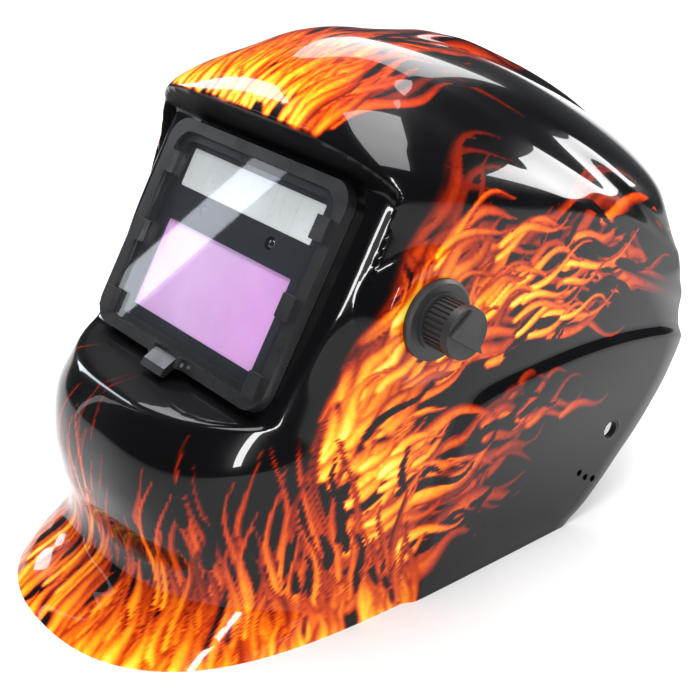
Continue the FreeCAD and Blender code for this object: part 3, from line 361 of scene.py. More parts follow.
def make_board():
    """Green solder mask over faint traces."""
    shader = Shader("board_mask")
    cells = shader.new("ShaderNodeTexVoronoi", feature="DISTANCE_TO_EDGE")
    cells.inputs["Scale"].default_value = 190.0
    shader.join(shader.place(), cells.inputs["Vector"])
    shader.colour(shader.ramp(cells.outputs["Distance"],
                              [(0.03, (0.03, 0.22, 0.07)), (0.09, (0.012, 0.11, 0.035))]))
    shader.rough(shader.remap(shader.noise(120.0), 0.3, 0.7, 0.25, 0.4))
    return shader.material


CHARCOAL = ((0.009, 0.009, 0.010), (0.017, 0.017, 0.019))
BLACK = ((0.008, 0.008, 0.009), (0.016, 0.016, 0.018))
NODE_MATERIALS = {
    "lens_frame": plastic("frame_plastic", *CHARCOAL, rough=0.33),
    "cover_lens": make_pane("cover_pane", (0.93, 0.95, 0.98)),
    "inner_cover_lens": make_pane("inner_pane", (0.94, 0.96, 0.97)),
    "cartridge_front": plastic("cartridge_plastic", *CHARCOAL, rough=0.38),
    "uv_ir_filter": make_filter(),
    "lcd_panel_front": plastic("lcd_glass", (0.01, 0.02, 0.012), (0.02, 0.035, 0.02), rough=0.1),
    "solar_strip": make_solar(),
    "light_sensors": plastic("sensor_lens", (0.006, 0.004, 0.008), (0.015, 0.01, 0.02),
                             rough=0.12, coat=1.0),
    "circuit_board": make_board(),
    "coin_cells": metal("cell_steel", (0.72, 0.72, 0.70)),
    "latch_pin": metal("pin_steel", (0.6, 0.6, 0.6)),
    "retainer_screws": metal("screw_steel", (0.25, 0.25, 0.26), rough=0.4),
    "potentiometer_body": metal("pot_metal", (0.66, 0.65, 0.62), rough=0.35),
    "potentiometer_nut": metal("nut_metal", (0.72, 0.66, 0.48), rough=0.3),
    "shade_knob": plastic("knob_plastic", (0.010, 0.010, 0.011), (0.018, 0.018, 0.020), rough=0.5),
    "headband": plastic("band_plastic", *CHARCOAL, rough=0.5, grain=900.0, depth=0.00006),
    "pivot_arm_left": plastic("arm_plastic", *BLACK, rough=0.42),
    "lead": plastic("lead_jacket", (0.015, 0.015, 0.015), (0.03, 0.03, 0.03), rough=0.55, grain=500.0),
}
# nodes of the same plastic or metal as another
SHARED = {
    "release_latch": "lens_frame",
    "cartridge_rear": "cartridge_front",
    "cartridge_retainer": "lens_frame",
    "lcd_panel_rear": "lcd_panel_front",
    "sensitivity_dial": "pivot_arm_left",
    "delay_dial": "pivot_arm_left",
    "knob_base_ring": "shade_knob",
    "potentiometer_shaft": "potentiometer_body",
    "crown_strap": "headband",
    "pivot_arm_right": "pivot_arm_left",
    "arm_studs": "pivot_arm_left",
    "ratchet_housing": "pivot_arm_left",
    "ratchet_knob": "shade_knob",
}
for name, other in SHARED.items():
    NODE_MATERIALS[name] = NODE_MATERIALS[other]


def dress(obj, material):
    """One material on the whole object."""
    obj.data.materials.clear()
    obj.data.materials.append(material)


for name, obj in nodes.items():
    if name in NODE_MATERIALS:
        dress(obj, NODE_MATERIALS[name])
dress(lead, NODE_MATERIALS["lead"])


SHARP_ANGLE = math.radians(32)


def soften(name, width):
    """Break the sharp edges of a CAD node, for highlights."""
    bevel = nodes[name].modifiers.new("soften", "BEVEL")
    bevel.width = width
    bevel.segments = 2
    bevel.limit_method = "ANGLE"
    bevel.angle_limit = SHARP_ANGLE
    nodes[name].data.shade_smooth()
    nodes[name].data.set_sharp_from_angle(angle=SHARP_ANGLE)


# ---------------------------------------------------------------- the shell's surface
HOOPS = np.array([
    # front_y, front_z, edge_x, edge_y, edge_z, side, nose
    (-179.0, -5.0, 88.3, 57.0, -5.0, 2.30, 5.0),
    (-171.5, 0.0, 88.5, 61.0, 0.0, 2.30, 5.0),
    (-165.0, 5.0, 88.7, 65.0, 3.0, 2.35, 5.0),
    (-151.0, 13.0, 89.0, 70.0, 6.0, 2.50, 5.0),
    (-139.5, 22.0, 89.3, 77.0, 11.0, 2.60, 5.0),
    (-137.5, 33.0, 89.6, 86.0, 19.0, 2.70, 5.0),
    (-140.5, 50.0, 90.0, 97.0, 30.0, 2.80, 5.0),
    (-142.0, 68.0, 90.3, 108.0, 40.5, 2.80, 5.0),
    (-138.5, 88.0, 90.6, 117.0, 51.0, 2.80, 5.0),
    (-126.7, 104.0, 91.0, 125.0, 62.0, 2.80, 5.0),
    (-113.7, 119.0, 91.5, 131.0, 74.0, 3.00, 5.2),
    (-86.0, 162.0, 92.0, 133.5, 88.0, 3.80, 6.5),
    (-68.0, 187.0, 92.5, 132.0, 97.0, 4.00, 8.5),
    (-54.0, 208.0, 93.0, 132.0, 106.0, 4.00, 11.0),
    (-45.0, 217.0, 93.0, 130.0, 112.0, 3.40, 7.0),
    (-30.0, 226.0, 93.0, 129.0, 118.0, 2.70, 4.0),
    (-8.0, 233.0, 93.0, 127.0, 125.0, 2.40, 2.5),
    (40.0, 226.0, 92.3, 124.5, 131.5, 2.20, 2.1),
    (96.0, 202.0, 90.0, 121.0, 141.0, 2.00, 1.7),
    (140.0, 176.0, 86.0, 118.0, 149.5, 1.80, 1.35),
    (172.0, 152.0, 80.0, 117.0, 156.0, 1.60, 1.0),
])
CREASE, CROWN = 5, 16
STATION = np.concatenate([[0.0], np.cumsum(np.hypot(*np.diff(HOOPS[:, :2], axis=0).T))])
LEAN = math.radians(58.6)
WINDOW_UP = np.array([0.0, math.cos(LEAN), math.sin(LEAN)])
WINDOW_OUT = np.array([0.0, -math.sin(LEAN), math.cos(LEAN)])
WINDOW_FOOT = np.array([0.0, -88.0, 115.0])
WINDOW_CENTRE = WINDOW_FOOT + 36.5 * WINDOW_UP
PIVOT = (88.0, 45.5)
KNOB = (-30.0, 139.8)
KNOB_FACE = 93.2
BOSS_REACH = 32.0
BOSS_RUN = 8
WALL = 2.6

# what is cut from the hood, in millimetres and degrees
BENCH = ((-150, -250), (150, -250), (150, 150), (-150, 150))
BENCH_DEPTH = 40
OPENING = (122, 98, 9)
OPENING_BACK, OPENING_FRONT = -16, 10
PIVOT_RADIUS = 5.5
SHAFT_RADIUS = 3.6
STOP_RADIUS = 1.8
STOP_REACH = 26
STOP_TURN = 235
STOP_PITCH = 14
THROUGH = 110
LEFT_ONLY = 70


def hoop_slopes():
    """Slopes of the hoop table's columns at each station."""
    step = np.diff(STATION)[:, None]
    rise = np.diff(HOOPS, axis=0) / step
    inner = (step[1:] * rise[:-1] + step[:-1] * rise[1:]) / (step[1:] + step[:-1])
    return np.concatenate([rise[:1], inner, rise[-1:]])


SLOPES = hoop_slopes()


def hoop_at(s):
    """The seven hoop values at distances s along the centre profile."""
    i = np.clip(np.searchsorted(STATION, s, side="left") - 1, 0, len(STATION) - 2)
    step = (STATION[i + 1] - STATION[i])[..., None]
    f = (s - STATION[i])[..., None] / step
    rest = 1 - f
    start = (1 + 2 * f) * rest ** 2
    bend = f * rest * step * (rest * SLOPES[i] - f * SLOPES[i + 1])
    return np.moveaxis(start * HOOPS[i] + (1 - start) * HOOPS[i + 1] + bend, -1, 0)


def smooth_step(f):
    """0 below 0, 1 above 1, and smooth between."""
    f = np.clip(f, 0.0, 1.0)
    return f * f * (3 - 2 * f)


def soft_max(a, b, r):
    """The larger of two, rounded over a width r."""
    return (a + b + np.sqrt((a - b) ** 2 + r * r)) / 2


def soft_min(a, b, r):
    """The smaller of two, rounded over a width r."""
    return (a + b - np.sqrt((a - b) ** 2 + r * r)) / 2


def shell_points(s, across, convex=2.4):
    """Points of the shell's outer face, in millimetres."""
    front_y, front_z, edge_x, edge_y, edge_z, side, nose = hoop_at(s)
    size = np.abs(across)
    along = np.clip(1 - size ** side, 0, None) ** (1 / nose)
    cheeks = smooth_step((s - STATION[CREASE]) / (STATION[10] - STATION[CREASE]))
    swell = 4.0 * cheeks * size ** 3 * np.sin(np.pi * along)
    point = np.stack([edge_x * across + np.sign(across) * swell,
                      edge_y + along * (front_y - edge_y),
                      edge_z + along * (front_z - edge_z)], -1)
    recess(point, convex)
    raise_lobe(point)
    flatten_boss(point)
    back = smooth_step((s - STATION[CROWN] - 20) / 60) * smooth_step((STATION[-1] - 6 - s) / 8)
    flank = smooth_step((13.0 - np.abs(point[..., 0])) / 7)
    point[..., 2] += 5.0 * back * flank
    return point


def recess(point, convex):
    """Sink the flat window box, its shelf below and its brim above into the front."""
    concave = 2.4
    offset = point - WINDOW_FOOT
    up, out = offset @ WINDOW_UP, offset @ WINDOW_OUT
    x = np.abs(point[..., 0])
    shelf = 26.0 - 1.63 * (up + 31.2)
    brim = 2.25 * (up - 89.3)
    flank = 0.1 - 1.3 * soft_max(x - 75.3, 0, 1.6)
    cheek = 3.2 * (x - 80.5) - 7.0
    floor = soft_max(soft_max(flank, soft_max(shelf, brim, concave), concave), cheek, concave)
    floor = np.where(up < -60, out + 50, floor)
    share = smooth_step((up + 50) / 12) * smooth_step((116 - up) / 10)
    point += WINDOW_OUT * ((soft_min(out, floor, convex) - out) * share)[..., None]


def raise_lobe(point):
    """Step the flat ear lobe outward, behind the jaw and under the step line."""
    y, z = point[..., 1], point[..., 2]
    under = 100 - 0.0016 * np.clip(y - 40, 0, None) ** 2 - z
    behind = y + 28 - 0.25 * (z - 40)
    inside = soft_min(under, behind, 16.0)
    side = smooth_step((np.abs(point[..., 0]) - 60) / 20)
    point[..., 0] += np.sign(point[..., 0]) * 2.8 * smooth_step((inside + 4) / 8) * side


def flatten_boss(point):
    """Level the left side round the shade knob."""
    reach = np.hypot(point[..., 1] - KNOB[0], point[..., 2] - KNOB[1])
    share = smooth_step((BOSS_REACH - reach) / BOSS_RUN) * (point[..., 0] > 0)
    point[..., 0] += (KNOB_FACE - point[..., 0]) * share


def even_columns(s, count):
    """For each row, the across values that are evenly spaced along the hoop."""
    fine = np.linspace(-1, 1, 1601)
    fine = np.sign(fine) * (1 - (1 - np.abs(fine)) ** 2.2)
    net = shell_points(np.repeat(s[:, None], len(fine), 1), np.repeat(fine[None], len(s), 0))
    run = np.linalg.norm(np.diff(net, axis=1), axis=-1)
    length = np.concatenate([np.zeros((len(s), 1)), np.cumsum(run, 1)], 1)
    share = np.linspace(0, 1, count)
    return np.array([np.interp(share * length[i, -1], length[i], fine) for i in range(len(s))])


def inner_points(s, across):
    """The inner face, a wall's thickness inside the outer one."""
    nudge = 0.4
    convex = 7.2
    reach = nudge / np.maximum(90 * np.sqrt(np.maximum(1e-3, 1 - np.abs(across))), 10)
    run = (shell_points(s, np.minimum(1, across + reach), convex)
           - shell_points(s, np.maximum(-1, across - reach), convex))
    rise = (shell_points(np.minimum(STATION[-1], s + nudge), across, convex)
            - shell_points(np.maximum(0, s - nudge), across, convex))
    normal = np.cross(rise, run)
    normal /= np.linalg.norm(normal, axis=-1, keepdims=True)
    return shell_points(s, across, convex) + normal * WALL


def boundary(rows, cols):
    """Index pairs round the edge of a net, in order."""
    return ([(0, j) for j in range(cols)]
            + [(i, cols - 1) for i in range(1, rows)]
            + [(rows - 1, j) for j in range(cols - 2, -1, -1)]
            + [(i, 0) for i in range(rows - 2, 0, -1)])


# the run that sets how many columns there are, how many rows and columns in from the edge count
# as inside, and how far the edge bulges as a share of half the wall
HOOP_RUN = 640
INSET = 4
EDGE_BULGE = 0.8


def shell_blank():
    """The closed hood: outer net, inner net at half density and a rounded edge between them."""
    spacing = 1.4
    rows = 2 * int(STATION[-1] / spacing / 2) + 1
    cols = 2 * int(HOOP_RUN / spacing / 2) + 1
    s = np.linspace(0, STATION[-1], rows)
    across = even_columns(s, cols)
    net_s = np.repeat(s[:, None], cols, 1)
    outer = shell_points(net_s, across)
    inner = inner_points(net_s[::2, ::2], across[::2, ::2])
    verts = [outer.reshape(-1, 3)]
    faces = []
    grid = np.arange(rows * cols).reshape(rows, cols)
    quads = np.stack([grid[:-1, :-1], grid[:-1, 1:], grid[1:, 1:], grid[1:, :-1]], -1).reshape(-1, 4)
    faces += quads.tolist()
    half = rows * cols + np.arange(inner.shape[0] * inner.shape[1]).reshape(inner.shape[:2])
    quads = np.stack([half[:-1, :-1], half[1:, :-1], half[1:, 1:], half[:-1, 1:]], -1).reshape(-1, 4)
    faces += quads.tolist()
    verts.append(inner.reshape(-1, 3))
    ring = boundary(rows, cols)
    ring_half = boundary(*inner.shape[:2])
    edge_out = [grid[p] for p in ring]
    edge_in = [half[p] for p in ring_half]
    flat = np.concatenate(verts)
    count = len(edge_in)
    coarse_out = np.array(edge_out)[::2]
    centre = (flat[coarse_out] + flat[edge_in]) / 2
    radius = (flat[coarse_out] - flat[edge_in]) / 2
    ahead = np.roll(flat[coarse_out], -1, 0) - np.roll(flat[coarse_out], 1, 0)
    away = np.cross(ahead, radius)
    away /= np.maximum(np.linalg.norm(away, axis=1, keepdims=True), 1e-9)
    away *= np.linalg.norm(radius, axis=1, keepdims=True)
    inside = np.array([grid[min(max(i, INSET), rows - 1 - INSET), min(max(j, INSET), cols - 1 - INSET)]
                       for i, j in ring[::2]])
    flip = np.sign(np.sum(away * (centre - flat[inside]), axis=1))
    away *= flip[:, None]
    loops = []
    start = len(flat)
    for k in (1, 2, 3):
        angle = math.pi * k / 4
        loop = centre + radius * math.cos(angle) + away * math.sin(angle) * EDGE_BULGE
        verts.append(loop)
        loops.append(start + np.arange(count))
        start += count
    rims = loops + [np.array(edge_in)]
    for i in range(count):
        n = (i + 1) % count
        trio = [edge_out[2 * i], edge_out[2 * i + 1], edge_out[(2 * i + 2) % len(edge_out)]]
        faces.append([trio[2], trio[1], trio[0], rims[0][i], rims[0][n]])
        for low, high in zip(rims, rims[1:]):
            faces.append([low[n], low[i], high[i], high[n]])
    return mesh_object("helmet_hood", np.concatenate(verts) * MM, [[int(v) for v in f] for f in faces])


def prism(outline, low, high):
    """A closed prism over an outline, as points and faces; outline is in millimetres."""
    n = len(outline)
    points = [tuple(p) + (low,) for p in outline] + [tuple(p) + (high,) for p in outline]
    faces = [list(range(n))[::-1], list(range(n, 2 * n))]
    faces += [[i, (i + 1) % n, n + (i + 1) % n, n + i] for i in range(n)]
    return np.array(points, float), faces


def round_rectangle(width, height, corner, steps=10):
    """Outline of a rectangle with round corners."""
    out = []
    for sx, sy, start in ((1, -1, -90), (1, 1, 0), (-1, 1, 90), (-1, -1, 180)):
        for k in range(steps + 1):
            a = math.radians(start + 90 * k / steps)
            out.append((sx * (width / 2 - corner) + corner * math.cos(a),
                        sy * (height / 2 - corner) + corner * math.sin(a)))
    return out


def ring_outline(y, z, radius, steps=48):
    """Outline of a round hole."""
    angles = [2 * math.pi * k / steps for k in range(steps)]
    return [(y + radius * math.cos(a), z + radius * math.sin(a)) for a in angles]


def cutters():
    """Everything that is cut from the hood: bench plane, window, pivot, stop and knob holes."""
    made = []
    points, faces = prism(BENCH, -BENCH_DEPTH, 0)
    made.append((points, faces))
    points, faces = prism(round_rectangle(*OPENING), OPENING_BACK, OPENING_FRONT)
    points = (WINDOW_CENTRE + points[:, :1] * np.array([1.0, 0, 0]) + points[:, 1:2] * WINDOW_UP
              + points[:, 2:] * WINDOW_OUT)
    made.append((points, faces))
    holes = [(PIVOT, PIVOT_RADIUS, -THROUGH, THROUGH), (KNOB, SHAFT_RADIUS, LEFT_ONLY, THROUGH)]
    for step in (-1, 0, 1):
        angle = math.radians(STOP_TURN + STOP_PITCH * step)
        centre = (PIVOT[0] + STOP_REACH * math.cos(angle), PIVOT[1] + STOP_REACH * math.sin(angle))
        holes.append((centre, STOP_RADIUS, -THROUGH, THROUGH))
    for (y, z), radius, low, high in holes:
        points, faces = prism(ring_outline(y, z, radius), low, high)
        made.append((points[:, [2, 0, 1]], faces))
    return made


def make_hood():
    """Cut the blank with each tool in turn."""
    hood = shell_blank()
    for i, (points, faces) in enumerate(cutters()):
        tool = mesh_object(f"cutter_{i}", points * MM, faces, smooth=False)
        modifier = hood.modifiers.new(f"cut_{i}", "BOOLEAN")
        modifier.operation = "DIFFERENCE"
        modifier.solver = "MANIFOLD"
        modifier.object = tool
        apply_modifiers(hood)
        bpy.data.objects.remove(tool)
    hood.data.shade_smooth()
    hood.data.set_sharp_from_angle(angle=math.radians(50))
    return hood


# ---------------------------------------------------------------- flames
class Canvas:
    """Airbrush strokes laid over each other on the shell's vertices, in flat charts."""

    def __init__(self, heat):
        self.heat = heat

    def stroke(self, chart, share, path, width, heat, lean):
        """One lick: path is (n, 2), width and heat have a value at each of its points."""
        low = path.min(0) - width.max()
        high = path.max(0) + width.max()
        near = np.nonzero((chart[:, 0] > low[0]) & (chart[:, 0] < high[0])
                          & (chart[:, 1] > low[1]) & (chart[:, 1] < high[1]) & (share > 0.01))[0]
        if not len(near):
            return
        spots = chart[near]
        best = np.full(len(near), 1e9)
        reach = np.zeros(len(near))
        glow = np.zeros(len(near))
        for k in range(len(path) - 1):
            a, b = path[k], path[k + 1]
            run = b - a
            f = np.clip(((spots - a) @ run) / max(run @ run, 1e-9), 0, 1)
            gap = spots - (a + f[:, None] * run)
            w = width[k] + f * (width[k + 1] - width[k])
            distance = np.hypot(gap[:, 0], gap[:, 1]) / np.maximum(w, 1e-3)
            side = np.sign(run[0] * gap[:, 1] - run[1] * gap[:, 0])
            closer = distance < best
            best = np.where(closer, distance, best)
            reach = np.where(closer, distance * side, reach)
            glow = np.where(closer, heat[k] + f * (heat[k + 1] - heat[k]), glow)
        cover = smooth_step((1 - best) / 0.38) * share[near]
        body = 0.42 + 0.58 * np.clip(1 - np.abs(reach - lean * 0.5) ** 1.7, 0, 1)
        hot = glow * body
        self.heat[near] = self.heat[near] * (1 - cover) + hot * cover


def lick(rng, start, angle, length, curl, points=14):
    """The centre line of a lick: it sets off at an angle and swings from side to side."""
    phase = rng.uniform(0, 2 * math.pi)
    turns = rng.uniform(0.6, 1.15)
    place = np.array(start, float)
    path = [place.copy()]
    for k in range(points - 1):
        t = k / (points - 1)
        swing = curl * (0.35 + 0.9 * t) * math.sin(phase + 2 * math.pi * turns * t)
        a = angle(place) + swing
        place = place + np.array([math.cos(a), math.sin(a)]) * length / (points - 1)
        path.append(place.copy())
    return np.array(path)


def taper(width, points=14, belly=0.22):
    """Widths along a lick: a belly near its root and a thin tip."""
    t = np.linspace(0, 1, points)
    return width * (0.55 + 0.45 * smooth_step(t / belly)) * (1 - t) ** 0.85 + 0.7


def brush(canvas, rng, chart, share, count, seeds, angle, length, width, heat, curl, cool=0.55):
    """Many licks from random seeds, the longest and coolest first."""
    order = []
    for _ in range(count):
        start = seeds(rng)
        long = rng.uniform(*length)
        order.append((long, start))
    order.sort(key=lambda item: -item[0])
    for long, start in order:
        path = lick(rng, start, angle, long, curl)
        hot = heat(start, rng)
        t = np.linspace(0, 1, len(path))
        canvas.stroke(chart, share, path, taper(rng.uniform(*width)), hot * (1 - cool * t ** 0.8),
                      rng.uniform(-0.7, 0.7))


# on each cheek the fire stays behind this line: heights, and the place along Y at each
FLAME_FRONT = ((60, 110, 140, 165, 190, 215), (-110, -84, -66, -50, -34, -18))

# the chin is charted as part of an upright cylinder: its centre along Y and its radius
CHIN_CENTRE = -20
CHIN_RADIUS = 122


def paint_flames(hood):
    """Heat at each vertex: 0 is the black ground, 1 the palest yellow."""
    mesh = hood.data
    count = len(mesh.vertices)
    place = np.empty(count * 3)
    normal = np.empty(count * 3)
    mesh.vertices.foreach_get("co", place)
    mesh.vertices.foreach_get("normal", normal)
    place = place.reshape(-1, 3) / MM
    normal = normal.reshape(-1, 3)
    x, y, z = place.T
    middle = np.stack([np.zeros(count), np.clip(y, -90, 80), np.clip(z, 30, 140)], -1)
    outside = smooth_step(np.sum(normal * (place - middle), axis=1) / 8 + 0.5)
    offset = place - WINDOW_FOOT
    up, out = offset @ WINDOW_UP, offset @ WINDOW_OUT
    box = smooth_step((78.5 - np.abs(x)) / 4) * smooth_step((up + 24) / 5) * smooth_step((100 - up) / 3)
    canvas = Canvas(np.zeros(count))
    rng = np.random.default_rng(11)

    # sides: backward along +Y, upward along the wall as it rolls over
    drop = z + 0.7 * np.clip(93 - np.abs(x), 0, None)
    for side in (1, -1):
        chart = np.stack([y, drop], -1)
        front = np.interp(drop, FLAME_FRONT[0], FLAME_FRONT[1])
        share = outside * (1 - box) * smooth_step((side * x - 38) / 12) * smooth_step((y - front) / 12)
        paint_side(canvas, rng, chart, share)

    # crown: backward from the brim
    chart = np.stack([x, y], -1)
    share = outside * (1 - box) * smooth_step((normal[:, 2] - 0.12) / 0.25) * smooth_step((z - 168) / 14)
    paint_crown(canvas, rng, chart, share)

    # chin: upward from the flange
    arc = np.arctan2(x, CHIN_CENTRE - y) * CHIN_RADIUS
    chart = np.stack([arc, z], -1)
    share = outside * (1 - box) * smooth_step((-15 - y) / 20) * smooth_step((112 - z) / 10)
    paint_chin(canvas, rng, chart, share)

    heat = np.clip(canvas.heat, 0, 1.05)
    for name, values in (("blaze", heat), ("varnish", outside)):
        layer = mesh.attributes.new(name, "FLOAT", "POINT")
        layer.data.foreach_set("value", values.astype(np.float32))


def glow(low, high):
    """A lick's heat, drawn between two values."""
    return lambda start, r: r.uniform(low, high)


def dark(start, r):
    """The heat of a lick of bare black ground."""
    return 0.0


def paint_side(canvas, rng, chart, share):
    """A fire that starts on the cheek and streams back past the knob to the rear edge."""
    def sweep(p):
        rise = np.interp(p[0], [-90, -55, -20, 30, 75, 125], [72, 52, 28, 8, -8, -24])
        low = np.interp(p[0], [-90, -40, 20, 80], [35, 14, 8, 16])
        f = float(smooth_step((p[1] - 70) / 50))
        return math.radians(low + (rise - low) * f)

    def from_band(y_low, y_high, w_low, w_high):
        return lambda r: (r.uniform(y_low, y_high), r.uniform(w_low, w_high))

    brush(canvas, rng, chart, share, 26, from_band(-62, 30, 126, 174), sweep, (66, 112), (5, 9.5),
          glow(0.40, 0.60), 0.8)
    brush(canvas, rng, chart, share, 18, from_band(-80, -14, 14, 62), sweep, (45, 88), (4.5, 8),
          glow(0.42, 0.60), 0.8)
    brush(canvas, rng, chart, share, 10, from_band(-6, 50, 62, 92), sweep, (28, 54), (2.8, 5),
          glow(0.4, 0.6), 0.9)
    brush(canvas, rng, chart, share, 14, from_band(24, 76, 112, 160), sweep, (40, 66), (3.6, 6.6),
          glow(0.45, 0.72), 0.85)
    brush(canvas, rng, chart, share, 28, from_band(-20, 80, 96, 170), sweep, (30, 64), (2.2, 4.6),
          dark, 0.8)
    brush(canvas, rng, chart, share, 30, from_band(-78, 6, 104, 165), sweep, (38, 80), (4.2, 8),
          glow(0.58, 0.82), 0.85)
    brush(canvas, rng, chart, share, 20, from_band(-84, -36, 18, 110), sweep, (34, 66), (4.5, 8),
          glow(0.68, 0.92), 0.75)
    brush(canvas, rng, chart, share, 24, from_band(-66, 30, 20, 160), sweep, (20, 46), (1.8, 3.6),
          dark, 0.8)
    brush(canvas, rng, chart, share, 30, from_band(-84, -50, 26, 150), sweep, (24, 50), (2.8, 5.5),
          glow(0.92, 1.12), 0.7)
    brush(canvas, rng, chart, share, 26, from_band(-40, 62, 116, 168), sweep, (26, 54), (1.8, 3.8),
          glow(0.78, 1.0), 0.8)


def paint_crown(canvas, rng, chart, share):
    """Flames off the brim's lip, yellow at the lip and red further back."""
    def sweep(p):
        return math.radians(90 - 0.16 * p[0])

    def from_lip(y_low, y_high, x_low=-88, x_high=48):
        return lambda r: (r.uniform(x_low, x_high), r.uniform(y_low, y_high))

    def fading(low, high):
        return lambda start, r: (r.uniform(low, high)
                                 * float(1 - 0.35 * smooth_step((start[0] - 15) / 35)))

    brush(canvas, rng, chart, share, 24, from_lip(-34, 60, -70, 34), sweep, (60, 112), (3.0, 5.6),
          fading(0.38, 0.54), 0.42)
    brush(canvas, rng, chart, share, 38, from_lip(-54, -4), sweep, (46, 88), (3.4, 6.2),
          fading(0.52, 0.74), 0.5)
    brush(canvas, rng, chart, share, 26, from_lip(-30, 30), sweep, (26, 60), (1.6, 3.4), dark, 0.5)
    brush(canvas, rng, chart, share, 40, from_lip(-58, -38), sweep, (32, 64), (3, 5.6),
          fading(0.76, 0.96), 0.5)
    brush(canvas, rng, chart, share, 34, from_lip(-60, -46), sweep, (18, 42), (2.6, 4.6),
          fading(0.96, 1.12), 0.42)


def paint_chin(canvas, rng, chart, share):
    """Tall tongues up the chin from a bright flange."""
    def sweep(p):
        return math.radians(90)

    def from_flange(z_low, z_high, reach=175):
        return lambda r: (r.uniform(-reach, reach), r.uniform(z_low, z_high))

    brush(canvas, rng, chart, share, 44, from_flange(-6, 26, 130), sweep, (58, 96), (2.6, 4.8),
          glow(0.50, 0.72), 0.35)
    brush(canvas, rng, chart, share, 56, from_flange(-8, 10), sweep, (34, 62), (2.8, 5.2),
          glow(0.54, 0.78), 0.42)
    brush(canvas, rng, chart, share, 46, from_flange(4, 64), sweep, (16, 42), (2.0, 4.0), dark, 0.5)
    brush(canvas, rng, chart, share, 26, from_flange(-4, 22, 120), sweep, (40, 74), (1.6, 3.0),
          glow(0.74, 0.95), 0.4)
    brush(canvas, rng, chart, share, 70, from_flange(-10, 2), sweep, (18, 36), (3.2, 5.6),
          glow(0.74, 0.96), 0.5)
    brush(canvas, rng, chart, share, 60, from_flange(-10, -2), sweep, (12, 24), (3, 5),
          glow(0.95, 1.1), 0.45)


hood = make_hood()
paint_flames(hood)
dress(hood, make_shell_paint())
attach(hood, "shell")
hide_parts("helmet_shell")


# ---------------------------------------------------------------- sweatband
BAND_TURN = Matrix.Translation((0, 0.083, 0.063)) @ Matrix.Rotation(math.radians(-15.7), 4, "X")

# the pad in millimetres: the half sizes of the ellipse it lies in, how deep the middle of its section
# is inside that, the section's half sizes, and how far forward its two ends stop
PAD_HALF_WIDTH = 75.9
PAD_HALF_LENGTH = 95.9
PAD_INSET = 3.5
PAD_DEPTH = 3.4
PAD_RISE = 15.6
PAD_END = 29.2
PAD_ROUND = 20
PAD_STEPS = 90

# what is held while the pad swells, in millimetres, with the stitch lines' spacing in radians
HELD_DEPTH = 2.0
HELD_RISE = 14.0
STITCH_HALF_WIDTH = 1.5
STITCH_PITCH = 0.30

# the cloth, with the voxels in metres and the furthest a point may move in millimetres
PAD_VOXEL = 0.0026
PAD_MASS = 0.004
PAD_PRESSURE = 600.0
PAD_FRAMES = 20
PAD_SWELL = 1.3


def make_sweatband():
    """A crowned padded band inside the front of the headband, with a stitched edge."""
    half_w, half_l = PAD_HALF_WIDTH, PAD_HALF_LENGTH
    profile = []
    for k in range(PAD_ROUND):
        a = 2 * math.pi * k / PAD_ROUND
        c, s = math.cos(a), math.sin(a)
        profile.append((math.copysign(abs(c) ** 0.75, c) * PAD_DEPTH,
                        math.copysign(abs(s) ** 0.62, s) * PAD_RISE))
    end = math.acos(PAD_END / half_l) - 0.02
    steps = PAD_STEPS
    verts, faces = [], []
    for i in range(steps + 1):
        f = i / steps
        a = -end + 2 * end * f
        tip = min(1.0, min(f, 1 - f) * 14)
        plump = 0.35 + 0.65 * math.sqrt(1 - (1 - tip) ** 2)
        ripple = 1 + 0.05 * math.sin(a * 46)
        for depth, height in profile:
            inward = PAD_INSET - depth * plump * (ripple if depth > 0 else 1)
            x = (half_w - inward) * math.sin(a)
            y = -(half_l - inward) * math.cos(a)
            verts.append(BAND_TURN @ Vector((x * MM, y * MM, height * plump ** 0.3 * MM)))
    n = len(profile)
    for i in range(steps):
        for k in range(n):
            faces.append([i * n + k, i * n + (k + 1) % n, (i + 1) * n + (k + 1) % n, (i + 1) * n + k])
    faces.append(list(range(n))[::-1])
    faces.append([steps * n + k for k in range(n)])
    pad = mesh_object("sweat_pad", verts, faces)
    blow_up(pad)
    subdivide = pad.modifiers.new("smooth", "SUBSURF")
    subdivide.levels = subdivide.render_levels = 1
    apply_modifiers(pad)
    pad.data.shade_smooth()
    return pad


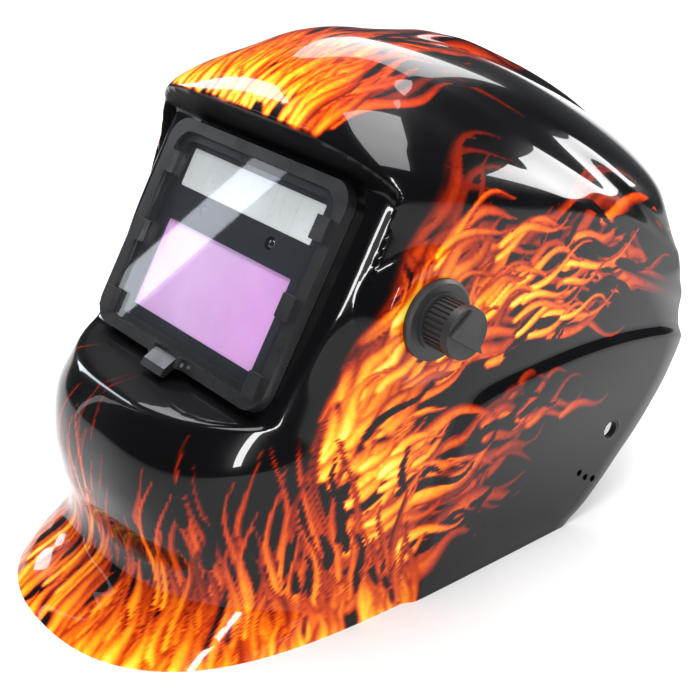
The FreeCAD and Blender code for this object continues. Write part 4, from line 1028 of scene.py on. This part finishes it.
def blow_up(pad):
    """Swell the pad as cloth under pressure, held against the band and along its stitch lines."""
    even = pad.modifiers.new("even", "REMESH")
    even.mode = "VOXEL"
    even.voxel_size = PAD_VOXEL
    apply_modifiers(pad)
    back = BAND_TURN.inverted()
    held = []
    for vertex in pad.data.vertices:
        x, y, z = (back @ vertex.co) / MM
        angle = math.atan2(x / PAD_HALF_WIDTH, -y / PAD_HALF_LENGTH)
        depth = (1 - math.hypot(x / PAD_HALF_WIDTH, y / PAD_HALF_LENGTH)) * PAD_HALF_LENGTH
        seam = abs((angle / STITCH_PITCH + 0.5) % 1 - 0.5) * STITCH_PITCH * PAD_HALF_LENGTH
        if depth < HELD_DEPTH or seam < STITCH_HALF_WIDTH or abs(z) > HELD_RISE:
            held.append(vertex.index)
    group = pad.vertex_groups.new(name="held")
    group.add(held, 1.0, "REPLACE")
    start = np.array([v.co[:] for v in pad.data.vertices])
    cloth = pad.modifiers.new("cloth", "CLOTH")
    cloth.settings.use_pressure = True
    cloth.settings.mass = PAD_MASS
    cloth.settings.uniform_pressure_force = PAD_PRESSURE
    cloth.settings.vertex_group_mass = "held"
    cloth.settings.effector_weights.gravity = 0.0
    cloth.collision_settings.use_collision = False
    for frame_number in range(1, PAD_FRAMES + 1):
        scene.frame_set(frame_number)
    evaluated = pad.evaluated_get(bpy.context.evaluated_depsgraph_get())
    moved = np.array([v.co[:] for v in evaluated.data.vertices]) - start
    pad.modifiers.remove(cloth)
    pad.vertex_groups.remove(group)
    scene.frame_set(1)
    length = np.linalg.norm(moved, axis=1)
    share = np.minimum(1.0, PAD_SWELL * MM / np.maximum(length, 1e-9))
    place = start + moved * share[:, None]
    pad.data.vertices.foreach_set("co", place.ravel())
    pad.data.update()


pad = make_sweatband()
dress(pad, make_cloth())
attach(pad, "headgear")
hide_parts("sweatband")

# how wide each moulded piece's edges are rounded, in metres
EDGE_WIDTHS = {
    "lens_frame": 0.0005,
    "release_latch": 0.0005,
    "cartridge_front": 0.0003,
    "knob_base_ring": 0.0005,
    "shade_knob": 0.00025,
    "cartridge_retainer": 0.0005,
    "sensitivity_dial": 0.0003,
    "delay_dial": 0.0003,
    "headband": 0.0004,
    "crown_strap": 0.0004,
    "pivot_arm_left": 0.0004,
    "pivot_arm_right": 0.0004,
    "ratchet_housing": 0.0008,
    "ratchet_knob": 0.0005,
}
for name, width in EDGE_WIDTHS.items():
    soften(name, width)


# ---------------------------------------------------------------- floor and light
def make_floor():
    """A wide pale floor."""
    half = 6.0
    corners = [(-half, -half, 0), (half, -half, 0), (half, half, 0), (-half, half, 0)]
    floor = mesh_object("floor", corners, [[0, 1, 2, 3]], smooth=False)
    shader = Shader("floor_paint")
    shader.colour(shader.ramp(shader.noise(3.0), [(0.3, (0.60, 0.60, 0.60)), (0.7, (0.63, 0.63, 0.63))]))
    shader.rough(shader.remap(shader.noise(9.0), 0.3, 0.7, 0.75, 0.85))
    dress(floor, shader.material)


def area_light(name, place, target, size, power, tint=(1, 1, 1)):
    """A soft box aimed at a point."""
    data = bpy.data.lights.new(name, "AREA")
    data.shape = "RECTANGLE"
    data.size, data.size_y = size
    data.energy = power
    data.color = tint
    lamp = link(bpy.data.objects.new(name, data))
    lamp.location = place
    lamp.rotation_euler = (Vector(target) - Vector(place)).to_track_quat("-Z", "Y").to_euler()


# the spot on the cover lens that the narrow lamp is aimed at
PANE_SPOT = (-0.02, -0.075, 0.142)


def make_lights():
    """Soft boxes over, in front and behind, and a narrow lamp that streaks the cover lens."""
    world = bpy.data.worlds.new("room")
    world.use_nodes = True
    world.node_tree.nodes["Background"].inputs[0].default_value = (0.9, 0.93, 1.0, 1.0)
    world.node_tree.nodes["Background"].inputs[1].default_value = 0.10
    scene.world = world
    aim = (0.0, 0.0, 0.12)
    area_light("top", (0.1, 0.2, 1.9), aim, (1.6, 1.2), 62)
    area_light("front_left", (1.3, -1.0, 0.8), aim, (0.14, 0.9), 19)
    area_light("pane_streak", (-1.20, -0.90, 0.56), PANE_SPOT, (0.05, 1.3), 0.6)
    area_light("front_right", (-1.5, -0.35, 0.9), aim, (0.3, 0.9), 12, (0.85, 0.92, 1.0))
    area_light("rear", (0.6, 1.5, 0.7), aim, (0.5, 0.6), 18)
    area_light("backdrop", (-1.4, 1.5, 1.5), (-1.3, 1.2, 0.0), (1.6, 1.6), 45)


make_floor()
make_lights()
scene.view_settings.view_transform = "Standard"
